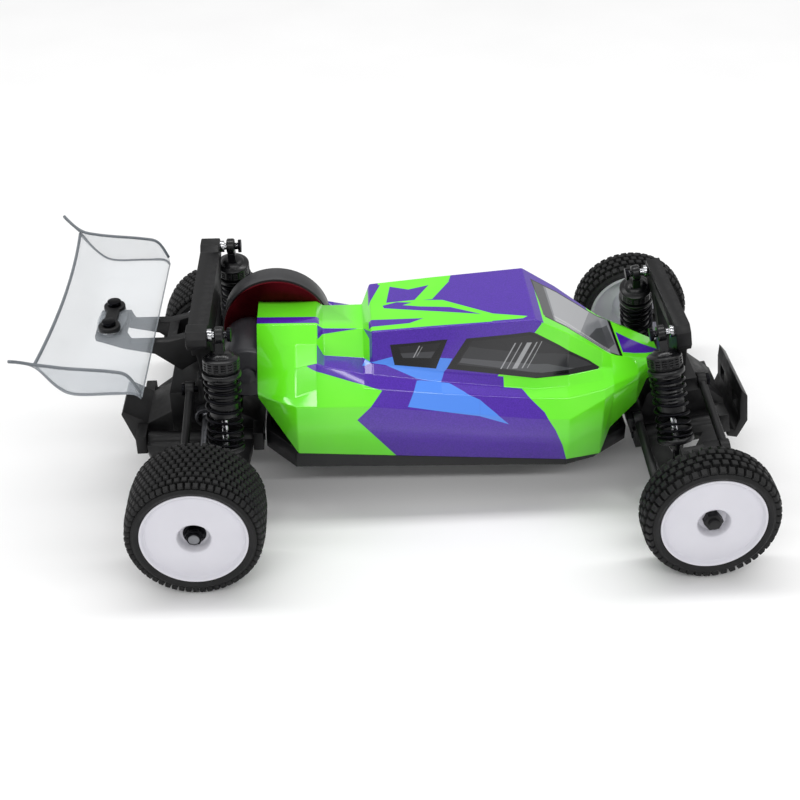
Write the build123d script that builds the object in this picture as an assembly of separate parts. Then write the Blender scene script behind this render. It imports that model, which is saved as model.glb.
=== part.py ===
from build123d import *
import math
import os

os.makedirs("parts", exist_ok=True)

# Frame: +X towards the nose, +Y to the car's left, +Z up, ground at z = 0.
# All sizes are in millimetres.

# ---- driving sizes ---------------------------------------------------------
TYRE_DIA = 37.0
WHEELBASE = 136.0
REAR_OVERHANG = 44.0       # wing tips behind the rear axle
FRONT_OVERHANG = 22.0      # bumper tip ahead of the front axle
REAR_HALF_WIDTH = 61.0     # outer faces of the rear tyres
FRONT_HALF_WIDTH = 62.0
REAR_TYRE_WIDTH = 20.0
FRONT_TYRE_WIDTH = 12.0
SHELL_WALL = 0.7
ROOF_HEIGHT = 55.5         # top of the roof's front edge
KICK_UP = 10.0             # degrees, front suspension leans back

# ---- fits ------------------------------------------------------------------
RUN = 0.05                 # shaft in bore
EYE_SLACK = 0.35           # lower shock eye round its pin
ROD_END_SLACK = 1.1        # tie rod eye round the steering arm pin
GAP = 0.4                  # between bodies that pass each other
BELT = 0.1                 # shell resting just over the chassis ledge

# ---- fasteners -------------------------------------------------------------
PIN_R = 1.0                # hinge pins and shock studs
AXLE_R = 1.5
ROD_R = 0.9                # shock shafts

# ---- derived ---------------------------------------------------------------
R = TYRE_DIA / 2
XR = -(WHEELBASE + FRONT_OVERHANG - REAR_OVERHANG) / 2   # rear axle
XF = XR + WHEELBASE                                      # front axle
RIM_R = 14.2 * TYRE_DIA / 37.0
LIFT = R - 18.5             # tub and shell are drawn for axles 18.5 mm up, and rise with them
ROOF_LIFT = ROOF_HEIGHT - 55.5 - LIFT

# ---- corner layouts, each in its axle's own frame ---------------------------
# x along the hinge, y outwards, z up from the axle height
REAR = dict(
    pin=(12.0, -1.5), span=27.0, drop=5.5, arm_x=(-17.0, 13.0), toe_x=(-7.5, 9.5),
    link=(12.0, 15.5), link_x=-3.6,
    top=(26.0, 41.1), low=(34.5, 0.5), shock_x=7.5, perch=31.0, barrel=23.0,
    face=(REAR_HALF_WIDTH - REAR_TYRE_WIDTH, REAR_HALF_WIDTH),
)
FRONT = dict(
    pin=(12.0, -3.0), span=26.0, drop=5.6, arm_x=(-9.0, 12.5), toe_x=(-6.0, 6.5),
    link=(11.5, 12.0), link_x=9.0,
    top=(17.8, 34.0), low=(30.0, -1.4), shock_x=-2.5, perch=29.8, barrel=23.6,
    face=(FRONT_HALF_WIDTH - FRONT_TYRE_WIDTH, FRONT_HALF_WIDTH),
)
KINGPIN_Y = 41.0
STEER_ARM = 10.7           # steering pin behind the kingpin
RACK_Y = KINGPIN_Y - FRONT["span"]
RACK_Z = 4.5               # inner tie rod pins above the axle height
HORN = 7.0                 # servo horn radius

REAR_FRAME = Pos(XR, 0, R)
FRONT_FRAME = Pos(XF, 0, R) * Rot(0, -KICK_UP, 0)


# ---- small helpers ---------------------------------------------------------
def rod(p, q, r):
    """Round bar of radius r from p to q."""
    a, b = Vector(*p), Vector(*q)
    bar = Cylinder(r, (b - a).length, align=(Align.CENTER, Align.CENTER, Align.MIN))
    return Plane(origin=a, z_dir=b - a) * bar


def bar_x(x0, x1, y, z, r):
    return rod((x0, y, z), (x1, y, z), r)


def bar_y(x, y0, y1, z, r):
    return rod((x, y0, z), (x, y1, z), r)


def bar_z(x, y, z0, z1, r):
    return rod((x, y, z0), (x, y, z1), r)


def box(x0, x1, y0, y1, z0, z1):
    middle = Pos((x0 + x1) / 2, (y0 + y1) / 2, (z0 + z1) / 2)
    return middle * Box(abs(x1 - x0), abs(y1 - y0), abs(z1 - z0))


def slab_x(points, x0, x1):
    """Polygon of (y, z) points filled from x0 to x1."""
    face = make_face(Polyline([(x0, y, z) for y, z in points], close=True))
    return extrude(face, amount=x1 - x0, dir=(1, 0, 0))


def slab_y(points, y0, y1):
    """Polygon of (x, z) points filled from y0 to y1."""
    face = make_face(Polyline([(x, y0, z) for x, z in points], close=True))
    return extrude(face, amount=y1 - y0, dir=(0, 1, 0))


def slab_z(points, z0, z1):
    """Polygon of (x, y) points filled from z0 to z1."""
    face = make_face(Polyline([(x, y, z0) for x, y in points], close=True))
    return extrude(face, amount=z1 - z0, dir=(0, 0, 1))


def turned_y(points, x=0.0, z=0.0):
    """Polygon of (y, radius) points turned about the Y line through (x, z)."""
    face = make_face(Polyline([(x, y, z + r) for y, r in points], close=True))
    return revolve(face, axis=Axis((x, 0, z), (0, 1, 0)))


def both(points):
    """A half outline of (x, y) with its mirror image across y = 0."""
    return list(points) + [(x, -y) for x, y in reversed(points)]


def both_yz(half):
    """A half outline of (y, z) with its mirror image across y = 0."""
    return list(half) + [(-y, z) for y, z in reversed(half)]


def mirrored(part):
    return mirror(part, about=Plane.XZ)


def save(part, name):
    part.label = name
    export_step(part, f"parts/{name}.step")


def save_pair(part, name):
    """The left-hand piece and its mirror image."""
    save(part, name + "_left")
    save(mirrored(part), name + "_right")


# ---- suspension, drawn for the left side in the axle's frame ----------------
def droop(c):
    return math.degrees(math.atan2(c["drop"], c["span"]))


def pin_out(c):
    return (c["pin"][0] + c["span"], c["pin"][1] - c["drop"])


def link_out(c):
    return (c["link"][0] + c["span"], c["link"][1] - c["drop"])


def lower_arm(c):
    """Wishbone lying flat along its own length, then let down to full droop."""
    x0, x1 = c["arm_x"]
    t0, t1 = c["toe_x"]
    reach = math.hypot(c["span"], c["drop"])
    plan = [(x0, 0), (x1, 0), (x1, 4), (t1, reach), (t0, reach), (x0, 4)]
    plate = slab_z(plan, -1.7, 1.3)
    plate -= slab_z([(x0 + 5, 4.5), (x1 - 5, 4.5), (t1 - 3.5, reach * 0.42),
                     (t0 + 3.5, reach * 0.42)], -3, 3)
    plate -= slab_z([(t0 + 3.3, reach * 0.52), (t1 - 3.3, reach * 0.52), (t1 - 3, reach * 0.74),
                     (t0 + 3, reach * 0.74)], -0.2, 3)
    plate += bar_x(x0, x1, 0, 0, 2.5)
    plate += bar_x(t0, t1, reach, 0, 2.4)
    plate -= box(t0 + 2.6, t1 - 2.6, reach - 3.4, reach + 3, -3, 3)
    plate -= bar_x(x0 - 1, x1 + 1, 0, 0, PIN_R + RUN)
    plate -= bar_x(t0 - 1, t1 + 1, reach, 0, PIN_R + RUN)
    arm = Pos(0, *c["pin"]) * Rot(-droop(c), 0, 0) * plate
    y, z = c["low"]
    foot = c["pin"][1] - c["drop"] * (y - c["pin"][0]) / c["span"]
    s = c["shock_x"] + 1.5
    arm += slab_x([(y - 4.0, foot), (y + 3.0, foot - 0.6), (y + 1.9, z + 1.6), (y - 1.9, z + 1.6)], s, s + 1.8)
    arm += bar_x(s - 3.4, s + 2.2, y, z, PIN_R)
    return arm


def rear_hub(c):
    """Upright with the axle bore, its hinge pin below and the link stud above."""
    y, z = pin_out(c)
    ly, lz = link_out(c)
    f0 = c["face"][0]
    hub = bar_y(0, f0 - 1.0, f0 + 4.6, 0, 4.4)
    hub += slab_x([(y - 2.2, z - 1.8), (y + 1.8, z - 2.2), (f0 + 3.6, -3.0), (f0 + 3.6, 3.0),
                   (ly + 1.6, lz + 1.6), (ly - 1.6, lz + 1.6), (f0 - 1.0, 3.0), (f0 - 1.0, -3.4)], -3.4, 4.6)
    hub -= box(-3.4, -1.6, ly - 3.2, ly + 3, lz - 3.2, lz + 3)
    hub += bar_x(c["link_x"] - 1.4, -1.6, ly, lz, PIN_R)
    hub += bar_x(c["toe_x"][0] - 0.6, c["toe_x"][1] + 0.6, y, z, PIN_R)
    hub -= bar_y(0, f0 - 6, f0 + 8, 0, AXLE_R + RUN)
    return hub


def caster_block(c):
    """C-shaped carrier: hinge pin low, link stud high, kingpin bores outboard."""
    y, z = pin_out(c)
    ly, lz = link_out(c)
    block = slab_x([(y - 2.2, z - 1.8), (y + 2.0, z - 2.0), (KINGPIN_Y + 3, -7.6), (KINGPIN_Y + 3, -5.2),
                    (KINGPIN_Y - 2.6, -5.2), (KINGPIN_Y - 2.6, 5.2), (KINGPIN_Y + 3, 5.2),
                    (KINGPIN_Y + 3, 7.4), (ly, lz + 2.2), (ly - 2.0, lz)], -3.2, 3.2)
    block += box(3.2, c["link_x"] - 1.4, ly - 1.8, ly + 1.2, lz - 1.6, lz + 1.6)
    block += bar_x(c["link_x"] - 1.4, c["link_x"] + 1.4, ly, lz, PIN_R)
    block += bar_x(c["toe_x"][0] - 0.6, c["toe_x"][1] + 0.6, y, z, PIN_R)
    block -= bar_z(0, KINGPIN_Y, -12, 12, PIN_R + RUN)
    return block


def knuckle(c):
    """Steering knuckle with kingpins, stub axle, wheel nut and steering arm."""
    f0, f1 = c["face"]
    z = RACK_Z - c["drop"]
    body = box(-2.6, 2.6, KINGPIN_Y - 1.5, KINGPIN_Y + 3.6, -5.0, 5.0)
    body += bar_z(0, KINGPIN_Y, -7.6, 7.4, PIN_R)
    body += slab_z([(-2.6, KINGPIN_Y - 0.4), (-2.6, KINGPIN_Y + 2.8), (-STEER_ARM - 1.6, KINGPIN_Y + 1.4),
                    (-STEER_ARM - 1.6, KINGPIN_Y - 1.4)], z - 3.4, z - 1.8)
    body += bar_z(-STEER_ARM, KINGPIN_Y, z - 1.8, z + 1.6, 0.8)
    body += bar_y(0, KINGPIN_Y + 3.6, f0 + 0.6, 0, 2.2)
    body += bar_y(0, f0 + 0.6, f1 - 0.4, 0, AXLE_R)
    body += hex_nut(f1 - 3.6, f1 - 1.4)
    return body


def hex_nut(y0, y1):
    """Wheel nut, 4.5 mm across flats, on the Y axis."""
    corner = 2.25 / math.cos(math.radians(30))
    hexagon = [(corner * math.cos(math.radians(60 * i)), corner * math.sin(math.radians(60 * i)))
               for i in range(6)]
    return slab_y(hexagon, y0, y1)


def camber_link(c):
    y0, z0 = c["link"]
    y1, z1 = link_out(c)
    x = c["link_x"]
    u, w = c["span"] / math.hypot(c["span"], c["drop"]), -c["drop"] / math.hypot(c["span"], c["drop"])
    link = rod((x, y0 + 1.8 * u, z0 + 1.8 * w), (x, y1 - 1.8 * u, z1 - 1.8 * w), 1.2)
    for y, z in ((y0, z0), (y1, z1)):
        link += bar_x(x - 1.2, x + 1.2, y, z, 2.3)
    for y, z in ((y0, z0), (y1, z1)):
        link -= bar_x(x - 3, x + 3, y, z, PIN_R + RUN)
    return link


def tie_rod(c):
    x = -STEER_ARM
    y0, z0 = RACK_Y, RACK_Z
    y1, z1 = y0 + c["span"], z0 - c["drop"]
    u, w = c["span"] / math.hypot(c["span"], c["drop"]), -c["drop"] / math.hypot(c["span"], c["drop"])
    link = rod((x, y0 + 2.0 * u, z0 + 2.0 * w), (x, y1 - 2.6 * u, z1 - 2.6 * w), 1.3)
    link += bar_x(x - 1.2, x + 1.2, y0, z0, 2.2)
    link += bar_z(x, y1, z1 - 1.2, z1 + 1.2, 0.8 + ROD_END_SLACK + 1.0)
    link -= bar_x(x - 3, x + 3, y0, z0, PIN_R + RUN)
    link -= bar_z(x, y1, z1 - 3, z1 + 3, 0.8 + ROD_END_SLACK)
    return link


# ---- shock absorbers: drawn hanging down from the top stud along -Z ----------
def shock_frame(c):
    dy, dz = c["low"][0] - c["top"][0], c["low"][1] - c["top"][1]
    lean = math.degrees(math.atan2(dy, -dz))
    return Pos(c["shock_x"], *c["top"]) * Rot(lean, 0, 0)


def shock_length(c):
    return math.hypot(c["low"][0] - c["top"][0], c["low"][1] - c["top"][1])


def shock_body(c):
    """Cap with a tall eye, barrel, spring collar; bored for the piston."""
    end = -c["barrel"]
    cap = bar_x(-1.2, 1.2, 0, 0, 2.3) + box(-1.2, 1.2, -2.0, 2.0, -5.2, 0)
    cap += bar_z(0, 0, -6.0, -4.6, 3.4) + bar_z(0, 0, -9.4, -6.0, 4.9)
    cap += bar_z(0, 0, end, -9.4, 3.9) + bar_z(0, 0, -11.6, -10.2, 5.2)
    cap -= bar_x(-3, 3, 0, 0, PIN_R + RUN)
    cap -= bar_z(0, 0, end + 1.8, -7.0, 3.3)
    cap -= bar_z(0, 0, end - 1, end + 2, ROD_R + RUN)
    return shock_frame(c) * cap


def shock_rod(c):
    """Piston, shaft, spring perch and the lower eye."""
    low = -shock_length(c)
    inner = -c["barrel"] + 3.0
    shaft = bar_z(0, 0, low + 2.4, inner, ROD_R) + bar_z(0, 0, inner, inner + 1.4, 3.3 - RUN)
    shaft += bar_z(0, 0, -c["perch"] - 1.6, -c["perch"], 5.2) + bar_z(0, 0, low + 4.0, -c["perch"] - 1.6, 2.0)
    shaft += bar_x(-1.2, 1.2, 0, low, 2.5) + box(-1.2, 1.2, -1.6, 1.6, low, low + 4.2)
    shaft -= bar_x(-3, 3, 0, low, PIN_R + EYE_SLACK)
    return shock_frame(c) * shaft


def spring(c):
    """Open coil between the collar and the perch."""
    wire = 0.4
    top, bottom = -11.6 - wire - 0.05, -c["perch"] + wire + 0.05
    turns = 7
    path = Helix(pitch=(top - bottom) / turns, height=top - bottom, radius=4.65)
    start = path @ 0
    section = Plane(origin=start, z_dir=path % 0) * Circle(wire)
    coil = sweep(section, path=path, is_frenet=True)
    return shock_frame(c) * Pos(0, 0, bottom) * coil


# ---- wheels ----------------------------------------------------------------
def tyre(c):
    f0, f1 = c["face"]
    b = RIM_R - 0.4
    points = [(f0 + 1.2, b), (f0 + 0.2, b + 1.4), (f0, R - 2.4), (f0 + 0.9, R - 0.6), (f0 + 2.4, R),
              (f1 - 2.4, R), (f1 - 0.9, R - 0.6), (f1, R - 2.4), (f1 - 0.2, b + 1.4), (f1 - 1.2, b)]
    return turned_y(points)


def rim(c, bore):
    """Dish rim, closed outside and open inside, with a hub boss."""
    f0, f1 = c["face"]
    b = RIM_R - 0.4
    k = f1 - 3.6
    points = [(f0 + 6.0 if f1 - f0 > 15 else f0 + 1.0, bore), (f0 + 6.0 if f1 - f0 > 15 else f0 + 1.0, 3.4),
              (k - 1.4, 4.6), (k - 0.4, 9.0), (f1 - 2.8, b - 1.0), (f0 + 1.3, b - 1.0), (f0 + 1.3, b),
              (f1 - 1.2, b), (f1 - 0.5, b + 0.3), (f1 - 0.6, b - 0.6), (f1 - 1.6, b - 1.2),
              (f1 - 1.9, 9.0), (f1 - 2.0, 4.0), (k, 3.6), (k, bore)]
    return turned_y(points)


def rear_axle(c):
    """Drive axle with the cup that takes the drive shaft, and the wheel nut."""
    f0, f1 = c["face"]
    k = f1 - 3.6
    axle = bar_y(0, f0 - 2.2, f1 - 0.6, 0, AXLE_R)
    axle += bar_y(0, f0 - 6.0, f0 - 1.4, 0, 3.1)
    axle -= bar_y(0, f0 - 7.0, f0 - 2.0, 0, 2.2)
    axle += hex_nut(k, k + 2.2)
    return axle


def dogbone(c):
    """Slim shaft with a ball at each end, parallel to the arm."""
    y0, z0 = c["face"][0] - 4.0 - c["span"], c["drop"]
    y1, z1 = c["face"][0] - 4.0, 0.0
    return rod((0, y0, z0), (0, y1, z1), 1.1) + Pos(0, y0, z0) * Sphere(1.7) + Pos(0, y1, z1) * Sphere(1.7)


# ---- drive -----------------------------------------------------------------
GEAR_M = 0.5
PINION_T, SPUR_T = 10, 36
PINION = (13.0, 19.7)      # x and z from the rear axle
MESH = (PINION_T + SPUR_T) * GEAR_M / 2 + 0.06
SPUR = (PINION[0] + MESH * math.cos(math.radians(33)), PINION[1] + MESH * math.sin(math.radians(33)))
COVER = (20.75, 23.5)      # gear cover centre from the rear axle
COVER_R = 15.6
GEAR_Y = (9.6, 12.8)
DIFF_Z = REAR["drop"]
TOWER_BACK, TOWER_FRONT, TOWER_BASE = -1.2, 4.4, 12.6


def gear(teeth, x, z, y0, y1, turn):
    """Straight-cut gear with flat-sided teeth, `turn` in tooth pitches."""
    pitch = 2 * math.pi / teeth
    rp = teeth * GEAR_M / 2
    shape = []
    for i in range(teeth):
        for frac, r in ((-0.36, rp - 0.62), (-0.21, rp), (-0.09, rp + 0.46),
                        (0.09, rp + 0.46), (0.21, rp), (0.36, rp - 0.62)):
            a = (i + turn + frac) * pitch
            shape.append((x + r * math.cos(a), z + r * math.sin(a)))
    return slab_y(shape, y0, y1)


def spur_gear():
    x, z = SPUR
    y0, y1 = GEAR_Y
    part = gear(SPUR_T, x, z, y0 + 0.6, y1 - 0.6, SPUR_T * (180 + 33) / 360)
    part += bar_y(x, y0, y1, z, 4.0)
    part += bar_y(x, GEAR_Y[0] - 3.4, COVER_Y[1] - 1.3, z, 1.2)
    for i in range(5):
        a = math.radians(72 * i)
        part -= bar_y(x + 6.1 * math.cos(a), y0 - 1, y1 + 1, z + 6.1 * math.sin(a), 1.1)
    return part


def motor_pinion():
    x, z = PINION
    part = gear(PINION_T, x, z, *GEAR_Y, PINION_T * 33 / 360 + 0.5)
    return part + bar_y(x, 7.0, GEAR_Y[1] + 0.8, z, 1.0)


def rear_diff():
    """Case and outdrive cups, turning in the gearbox."""
    part = bar_y(0, -6.0, 6.0, DIFF_Z, 5.6)
    for s in (1, -1):
        part += bar_y(0, s * 6.0, s * (REAR["face"][0] - 2.0 - REAR["span"]), DIFF_Z, 3.1)
        part -= bar_y(0, s * 7.5, s * 20, DIFF_Z, 2.2)
    return part


COVER_Y = (8.2, 15.2)


def gear_cover():
    x, z = COVER
    part = bar_y(x, *COVER_Y, z, COVER_R) - bar_y(x, COVER_Y[0] - 1, COVER_Y[1] - 1.0, z, COVER_R - 1.0)
    return part


def motor_plate():
    """Round plate behind the cover with a foot down to the chassis."""
    x, z = COVER
    y0, y1 = 6.8, 8.0
    part = bar_y(x, y0, y1, z, COVER_R - 0.3) + box(x - 2.1, x + 5, y0, y1, -2.5, z - 9)
    part -= bar_y(PINION[0], y0 - 1, y1 + 1, PINION[1], 1.0 + RUN)
    part -= bar_y(SPUR[0], y0 - 1, y1 + 1, SPUR[1], 1.2 + RUN)
    return part


def motor():
    x, z = PINION
    can = bar_y(x, -11.5, 6.8, z, 8.0)
    can = chamfer(can.edges().filter_by(GeomType.CIRCLE).group_by(Axis.Y)[0], 0.8)
    can += bar_y(x, -12.8, -11.5, z, 2.2)
    can -= bar_y(x, 5.8, 7.5, z, 1.0 + 4 * RUN)
    can -= bar_y(SPUR[0], 5.0, 7.5, SPUR[1], 1.2 + 4 * RUN)
    return can


# ---- rear structure, in the rear axle's frame --------------------------------
def rear_gearbox():
    """Gearbox with the diff cavity and the four lower hinge lugs."""
    base = -4.1
    a0, a1 = REAR["arm_x"]
    part = box(-10, 10, -9.2, 9.2, base, 11.4) + box(-10, 4.6, -9.2, 9.2, 11.4, TOWER_BASE)
    part += slab_y([(10, base), (a1 + 3.2, base), (a1 + 3.2, 0.8), (10, 4.6)], -8.6, 8.6)
    part += slab_y([(-10, base), (-10, 6.0), (a0 - 0.2, 2.2), (a0 - 7.0, 6.4), (a0 - 7.6, 5.2),
                    (a0 - 4.4, base)], -8.6, 8.6)
    for x in (a0 - 3.2, a1 + 0.2):
        part += slab_x([(-15.2, base), (15.2, base), (15.2, 1.8), (-15.2, 1.8)], x, x + 3.0)
    for s in (1, -1):
        y, z = REAR["pin"]
        part -= bar_x(a0 - 4, a1 + 4, s * y, z, PIN_R)
        part -= box(a0, a1, s * 8.9, s * 17, base - 1, 2.2)
    part -= bar_y(0, -6.3, 6.3, DIFF_Z, 6.0)
    part -= bar_y(0, -12, 12, DIFF_Z, 3.1 + RUN)
    return part


def rear_tower():
    """Shock tower: splayed legs, a deep top bar and ears reaching forwards."""
    ty, tz = REAR["top"]
    half = [(9.2, TOWER_BASE), (9.2, 17.0), (20.5, 33.0), (ty - 2.4, 37.4), (ty + 1.4, 37.4),
            (ty + 3.0, 39.4), (ty + 3.0, tz + 0.2), (ty + 1.6, tz + 2.0), (ty - 2.6, tz + 2.0),
            (ty - 4.4, tz + 0.4)]
    part = slab_x(both_yz(half), TOWER_BACK, TOWER_FRONT)
    part -= slab_x([(-15.5, 32.0), (15.5, 32.0), (7.0, 19.5), (-7.0, 19.5)], TOWER_BACK - 1, TOWER_FRONT + 1)
    for s in (1, -1):
        part -= box(TOWER_BACK - 1, TOWER_FRONT - 4.4, s * 5, s * 22, 8, 30.5)
        part += box(TOWER_BACK, 0.4, s * 9.2, s * 14.2, TOWER_BASE, 20.0)
        part -= bar_x(TOWER_BACK - 3, TOWER_FRONT + 3, s * ty, tz, PIN_R)
        ly, lz = REAR["link"]
        part -= bar_x(TOWER_BACK - 2, TOWER_FRONT + 2, s * ly, lz, PIN_R)
    return part


WING_SEAT = 31.0
WING_WALL = 0.8
WING_HALF = 37.8
TIP_FLARE = 4.4            # wing tips lean out past the dams
TIP_RISE = 13.6


def wing_mount():
    """Two swept struts on the tower's back with a saddle under the wing."""
    back = TOWER_BACK
    half = slab_y([(back, 22.0), (back, 30.5), (-9, 28.4), (-19.4, 28.4), (-20.6, WING_SEAT), (-29.0, WING_SEAT),
                   (-29.0, 29.4), (-21.0, 26.4), (-13.0, 24.6), (-6.0, 19.0)], 4.4, 7.4)
    part = half + mirrored(half)
    part += box(-29.0, -20.6, -4.4, 4.4, 29.4, WING_SEAT)
    part += box(-9.5, -6.8, -4.4, 4.4, 24.0, 28.4)
    for s in (1, -1):
        part -= bar_z(-24.9, s * 5.7, 20, 40, PIN_R)
    return part


def rear_wing():
    """Clear wing: cambered plane, kicked-up lip, side dams and flared tips."""
    t = WING_WALL
    z = WING_SEAT
    half = WING_HALF
    tail = -REAR_OVERHANG + 5.4
    chord = [(-12.5, z - 2.0), (-14.5, z - 0.2), (-20.0, z), (-29.5, z), (-33.5, z + 2.6), (tail, z + 9.2)]
    top = [(x, h + t) for x, h in chord]
    plane = slab_y(chord + top[::-1], -half, half)
    dam = slab_y(chord + [(tail, z + 11.2), (-17.0, z + 7.2), (-12.5, z + 0.6)], half, half + t)
    root = Plane.YZ.offset(tail) * Pos(half + t / 2, z + 9.8) * Rectangle(t, 2.8)
    tip = Plane.YZ.offset(-REAR_OVERHANG) * Pos(half + TIP_FLARE, z + TIP_RISE) * Rectangle(t, 1.2)
    fin = loft([root, tip])
    part = plane + dam + mirrored(dam) + fin + mirrored(fin)
    for s in (1, -1):
        part -= bar_z(-24.9, s * 5.7, z - 2, z + 3, PIN_R)
    return part


# ---- front structure --------------------------------------------------------
F_TOWER = (1.2, 5.2)


def front_bulkhead():
    """Nose block holding the lower hinge pins and guiding the steering rack."""
    a0, a1 = FRONT["arm_x"]
    py, pz = FRONT["pin"]
    part = slab_y([(a0 - 0.4, -5.6), (a1 + 3.2, -5.6), (a1 + 3.2, 2.0), (6.4, 12.0), (F_TOWER[0], 12.0),
                   (F_TOWER[0], 14.0), (-6.5, 8.0), (a0 - 0.4, 0.6)], -8.6, 8.6)
    for x in (a0 - 3.2, a1 + 0.2):
        part += box(x, x + 3.0, -15.0, 15.0, -5.6, 0.6)
    for s in (1, -1):
        part -= bar_x(a0 - 5, a1 + 5, s * py, pz, PIN_R)
    return FRONT_FRAME * part


def front_tower():
    """Front shock tower: trapezoid frame, ears reaching backwards."""
    ty, tz = FRONT["top"]
    half = [(8.6, 14.5), (ty - 2.6, 27.4), (ty + 1.8, 28.4), (ty + 3.4, 30.6), (ty + 3.4, tz + 0.6),
            (ty + 2.0, tz + 2.6), (ty - 3.0, tz + 2.6)]
    part = slab_x(both_yz(half), *F_TOWER)
    part += box(F_TOWER[0], F_TOWER[1], -8.6, 8.6, 12.0, 14.5)
    part -= slab_x([(-10.4, 30.4), (10.4, 30.4), (6.2, 19.0), (-6.2, 19.0)], -9, 9)
    lx, (ly, lz) = FRONT["link_x"], FRONT["link"]
    part += box(F_TOWER[1], lx - 1.6, -ly - 2.2, ly + 2.2, 10.2, 14.5)
    part += box(F_TOWER[0], F_TOWER[1], -ly - 2.2, -8.6, 10.2, 14.5)
    part += box(F_TOWER[0], F_TOWER[1], 8.6, ly + 2.2, 10.2, 14.5)
    part -= box(F_TOWER[1] - 0.1, lx, -8.7, 8.7, 9, 12.0)
    for s in (1, -1):
        part -= bar_x(-9, 9, s * ty, tz, PIN_R)
        part -= bar_x(-9, 12, s * ly, lz, PIN_R)
    return FRONT_FRAME * part


def front_bumper():
    """Upturned bumper plate bolted ahead of the bulkhead, level with the road."""
    x0 = 16.6
    tip = FRONT_OVERHANG
    part = slab_y([(x0, -5.9), (19.6, -6.5), (tip, -0.5), (tip - 1.2, 8.0), (tip - 3.4, 10.5),
                   (tip - 3.4, 6.5), (tip - 2.6, 0.1), (18.4, -3.7), (x0, -3.3)], -13.0, 13.0)
    part -= box(tip - 6, tip + 1, 5.0, 9.0, 1.5, 5.5)
    part -= box(tip - 6, tip + 1, -9.0, -5.0, 1.5, 5.5)
    return Pos(XF, 0, R) * part


def rack_point():
    """Where the rack's middle sits in the car's frame."""
    p = FRONT_FRAME * Pos(-STEER_ARM, 0, RACK_Z)
    return p.position.X, p.position.Z


def steering_rack():
    """Sliding bar with a pin for each tie rod and a slot for the horn."""
    part = box(-1.3, 1.3, -RACK_Y + 2.6, RACK_Y - 2.6, -1.4, 1.4)
    for s in (1, -1):
        part += box(-2.9, -1.5, s * (RACK_Y - 5.5), s * (RACK_Y + 1.3), -1.4, 1.4)
        part += box(-2.9, 1.3, s * (RACK_Y - 5.5), s * (RACK_Y - 2.9), -1.4, 1.4)
        part += bar_x(-1.5, 1.5, s * RACK_Y, 0, PIN_R)
    part += box(-8.6, 1.3, -2.6, 2.6, -1.4, 0.0)
    part -= box(-7.6, -2.4, -0.8 - 0.3, 0.8 + 0.3, -3, 3)
    return FRONT_FRAME * Pos(-STEER_ARM, 0, RACK_Z) * part


def servo_horn():
    """Horn on the servo shaft; its pin works in the rack's slot."""
    x, z = rack_point()
    xs = x - 5.2 - HORN
    part = bar_z(xs, 0, z + 0.4, z + 2.2, 2.4) + bar_z(xs, 0, z - 5.0, z + 0.4, 1.5)
    part += box(xs, xs + HORN, -1.5, 1.5, z + 0.9, z + 2.2) + bar_z(xs + HORN, 0, z + 0.9, z + 2.2, 1.5)
    part += bar_z(xs + HORN, 0, z - 2.6, z + 0.9, 0.8)
    return part


# ---- chassis and electrics ---------------------------------------------------
RAIL_Y = 25.0 - SHELL_WALL - GAP


def skirt_z(x):
    """Height of the shell's bottom edge, which falls in a straight line to the nose."""
    x0, x1 = XR + 26.6, XF - 33.2
    return 19.9 - 5.0 * (x - x0) / (x1 - x0)


def chassis_tray():
    """Shallow tub, raked nose-down, with a ledge the shell sits over."""
    side = [(XR + 16.6, 14.6), (XF - 13.6, 11.6), (XF - 13.6, 16.2), (XF - 31, 17.2), (XR + 27, 20.6),
            (XR + 16.6, 21.2)]
    outline = [(XR + 16.6, 13.0), (XR + 25.6, RAIL_Y), (XF - 33.2, RAIL_Y), (XF - 24.5, RAIL_Y - 3.6),
               (XF - 13.6, 11.0)]
    tub = slab_y(side, -40, 40) & slab_z(both(outline), 5, 30)
    inner = [(XR + 18.4, 11.4), (XR + 26.6, RAIL_Y - 1.6), (XF - 33.8, RAIL_Y - 1.6),
             (XF - 26, RAIL_Y - 5.2), (XF - 15.4, 9.6)]
    floor = [(XR + 10, 16.1), (XF - 5, 12.9), (XF - 5, 40), (XR + 10, 40)]
    tub -= slab_z(both(inner), 5, 40) & slab_y(floor, -40, 40)
    ledge = [(XR + 25.6, 15.4), (XF - 33.2, 12.9), (XF - 33.2, skirt_z(XF - 33.2) - BELT),
             (XR + 26.0, skirt_z(XR + 26.0) - BELT)]
    for s in (1, -1):
        tub += slab_y(ledge, min(s * RAIL_Y, s * 25), max(s * RAIL_Y, s * 25))
    tub -= box(XR - 10, XR + REAR["arm_x"][1] + 4, -40, 40, 0, 40)
    return Pos(0, 0, LIFT) * tub


def servo():
    x, z = rack_point()
    xs = x - 5.2 - HORN
    body = box(xs - 17, xs + 3, -5.8, 5.8, 14.0 + LIFT, z - 2.2)
    body += box(xs - 20, xs + 6, -5.8, 5.8, 15.0 + LIFT, 16.2 + LIFT)
    return body - bar_z(xs, 0, z - 5.1, z, 1.5 + RUN)


def battery():
    body = box(XR + 44, XF - 48, -20.0, -1.0, 15.4, 30.0)
    return Pos(0, 0, LIFT) * fillet(body.edges().filter_by(Axis.X), 2.0)


def receiver_esc():
    board = box(XR + 56, XF - 48, 2.0, 18.0, 15.4, 22.0)
    return Pos(0, 0, LIFT) * (board + box(XR + 60, XF - 52, 4.0, 16.0, 22.0, 25.0))


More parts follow.
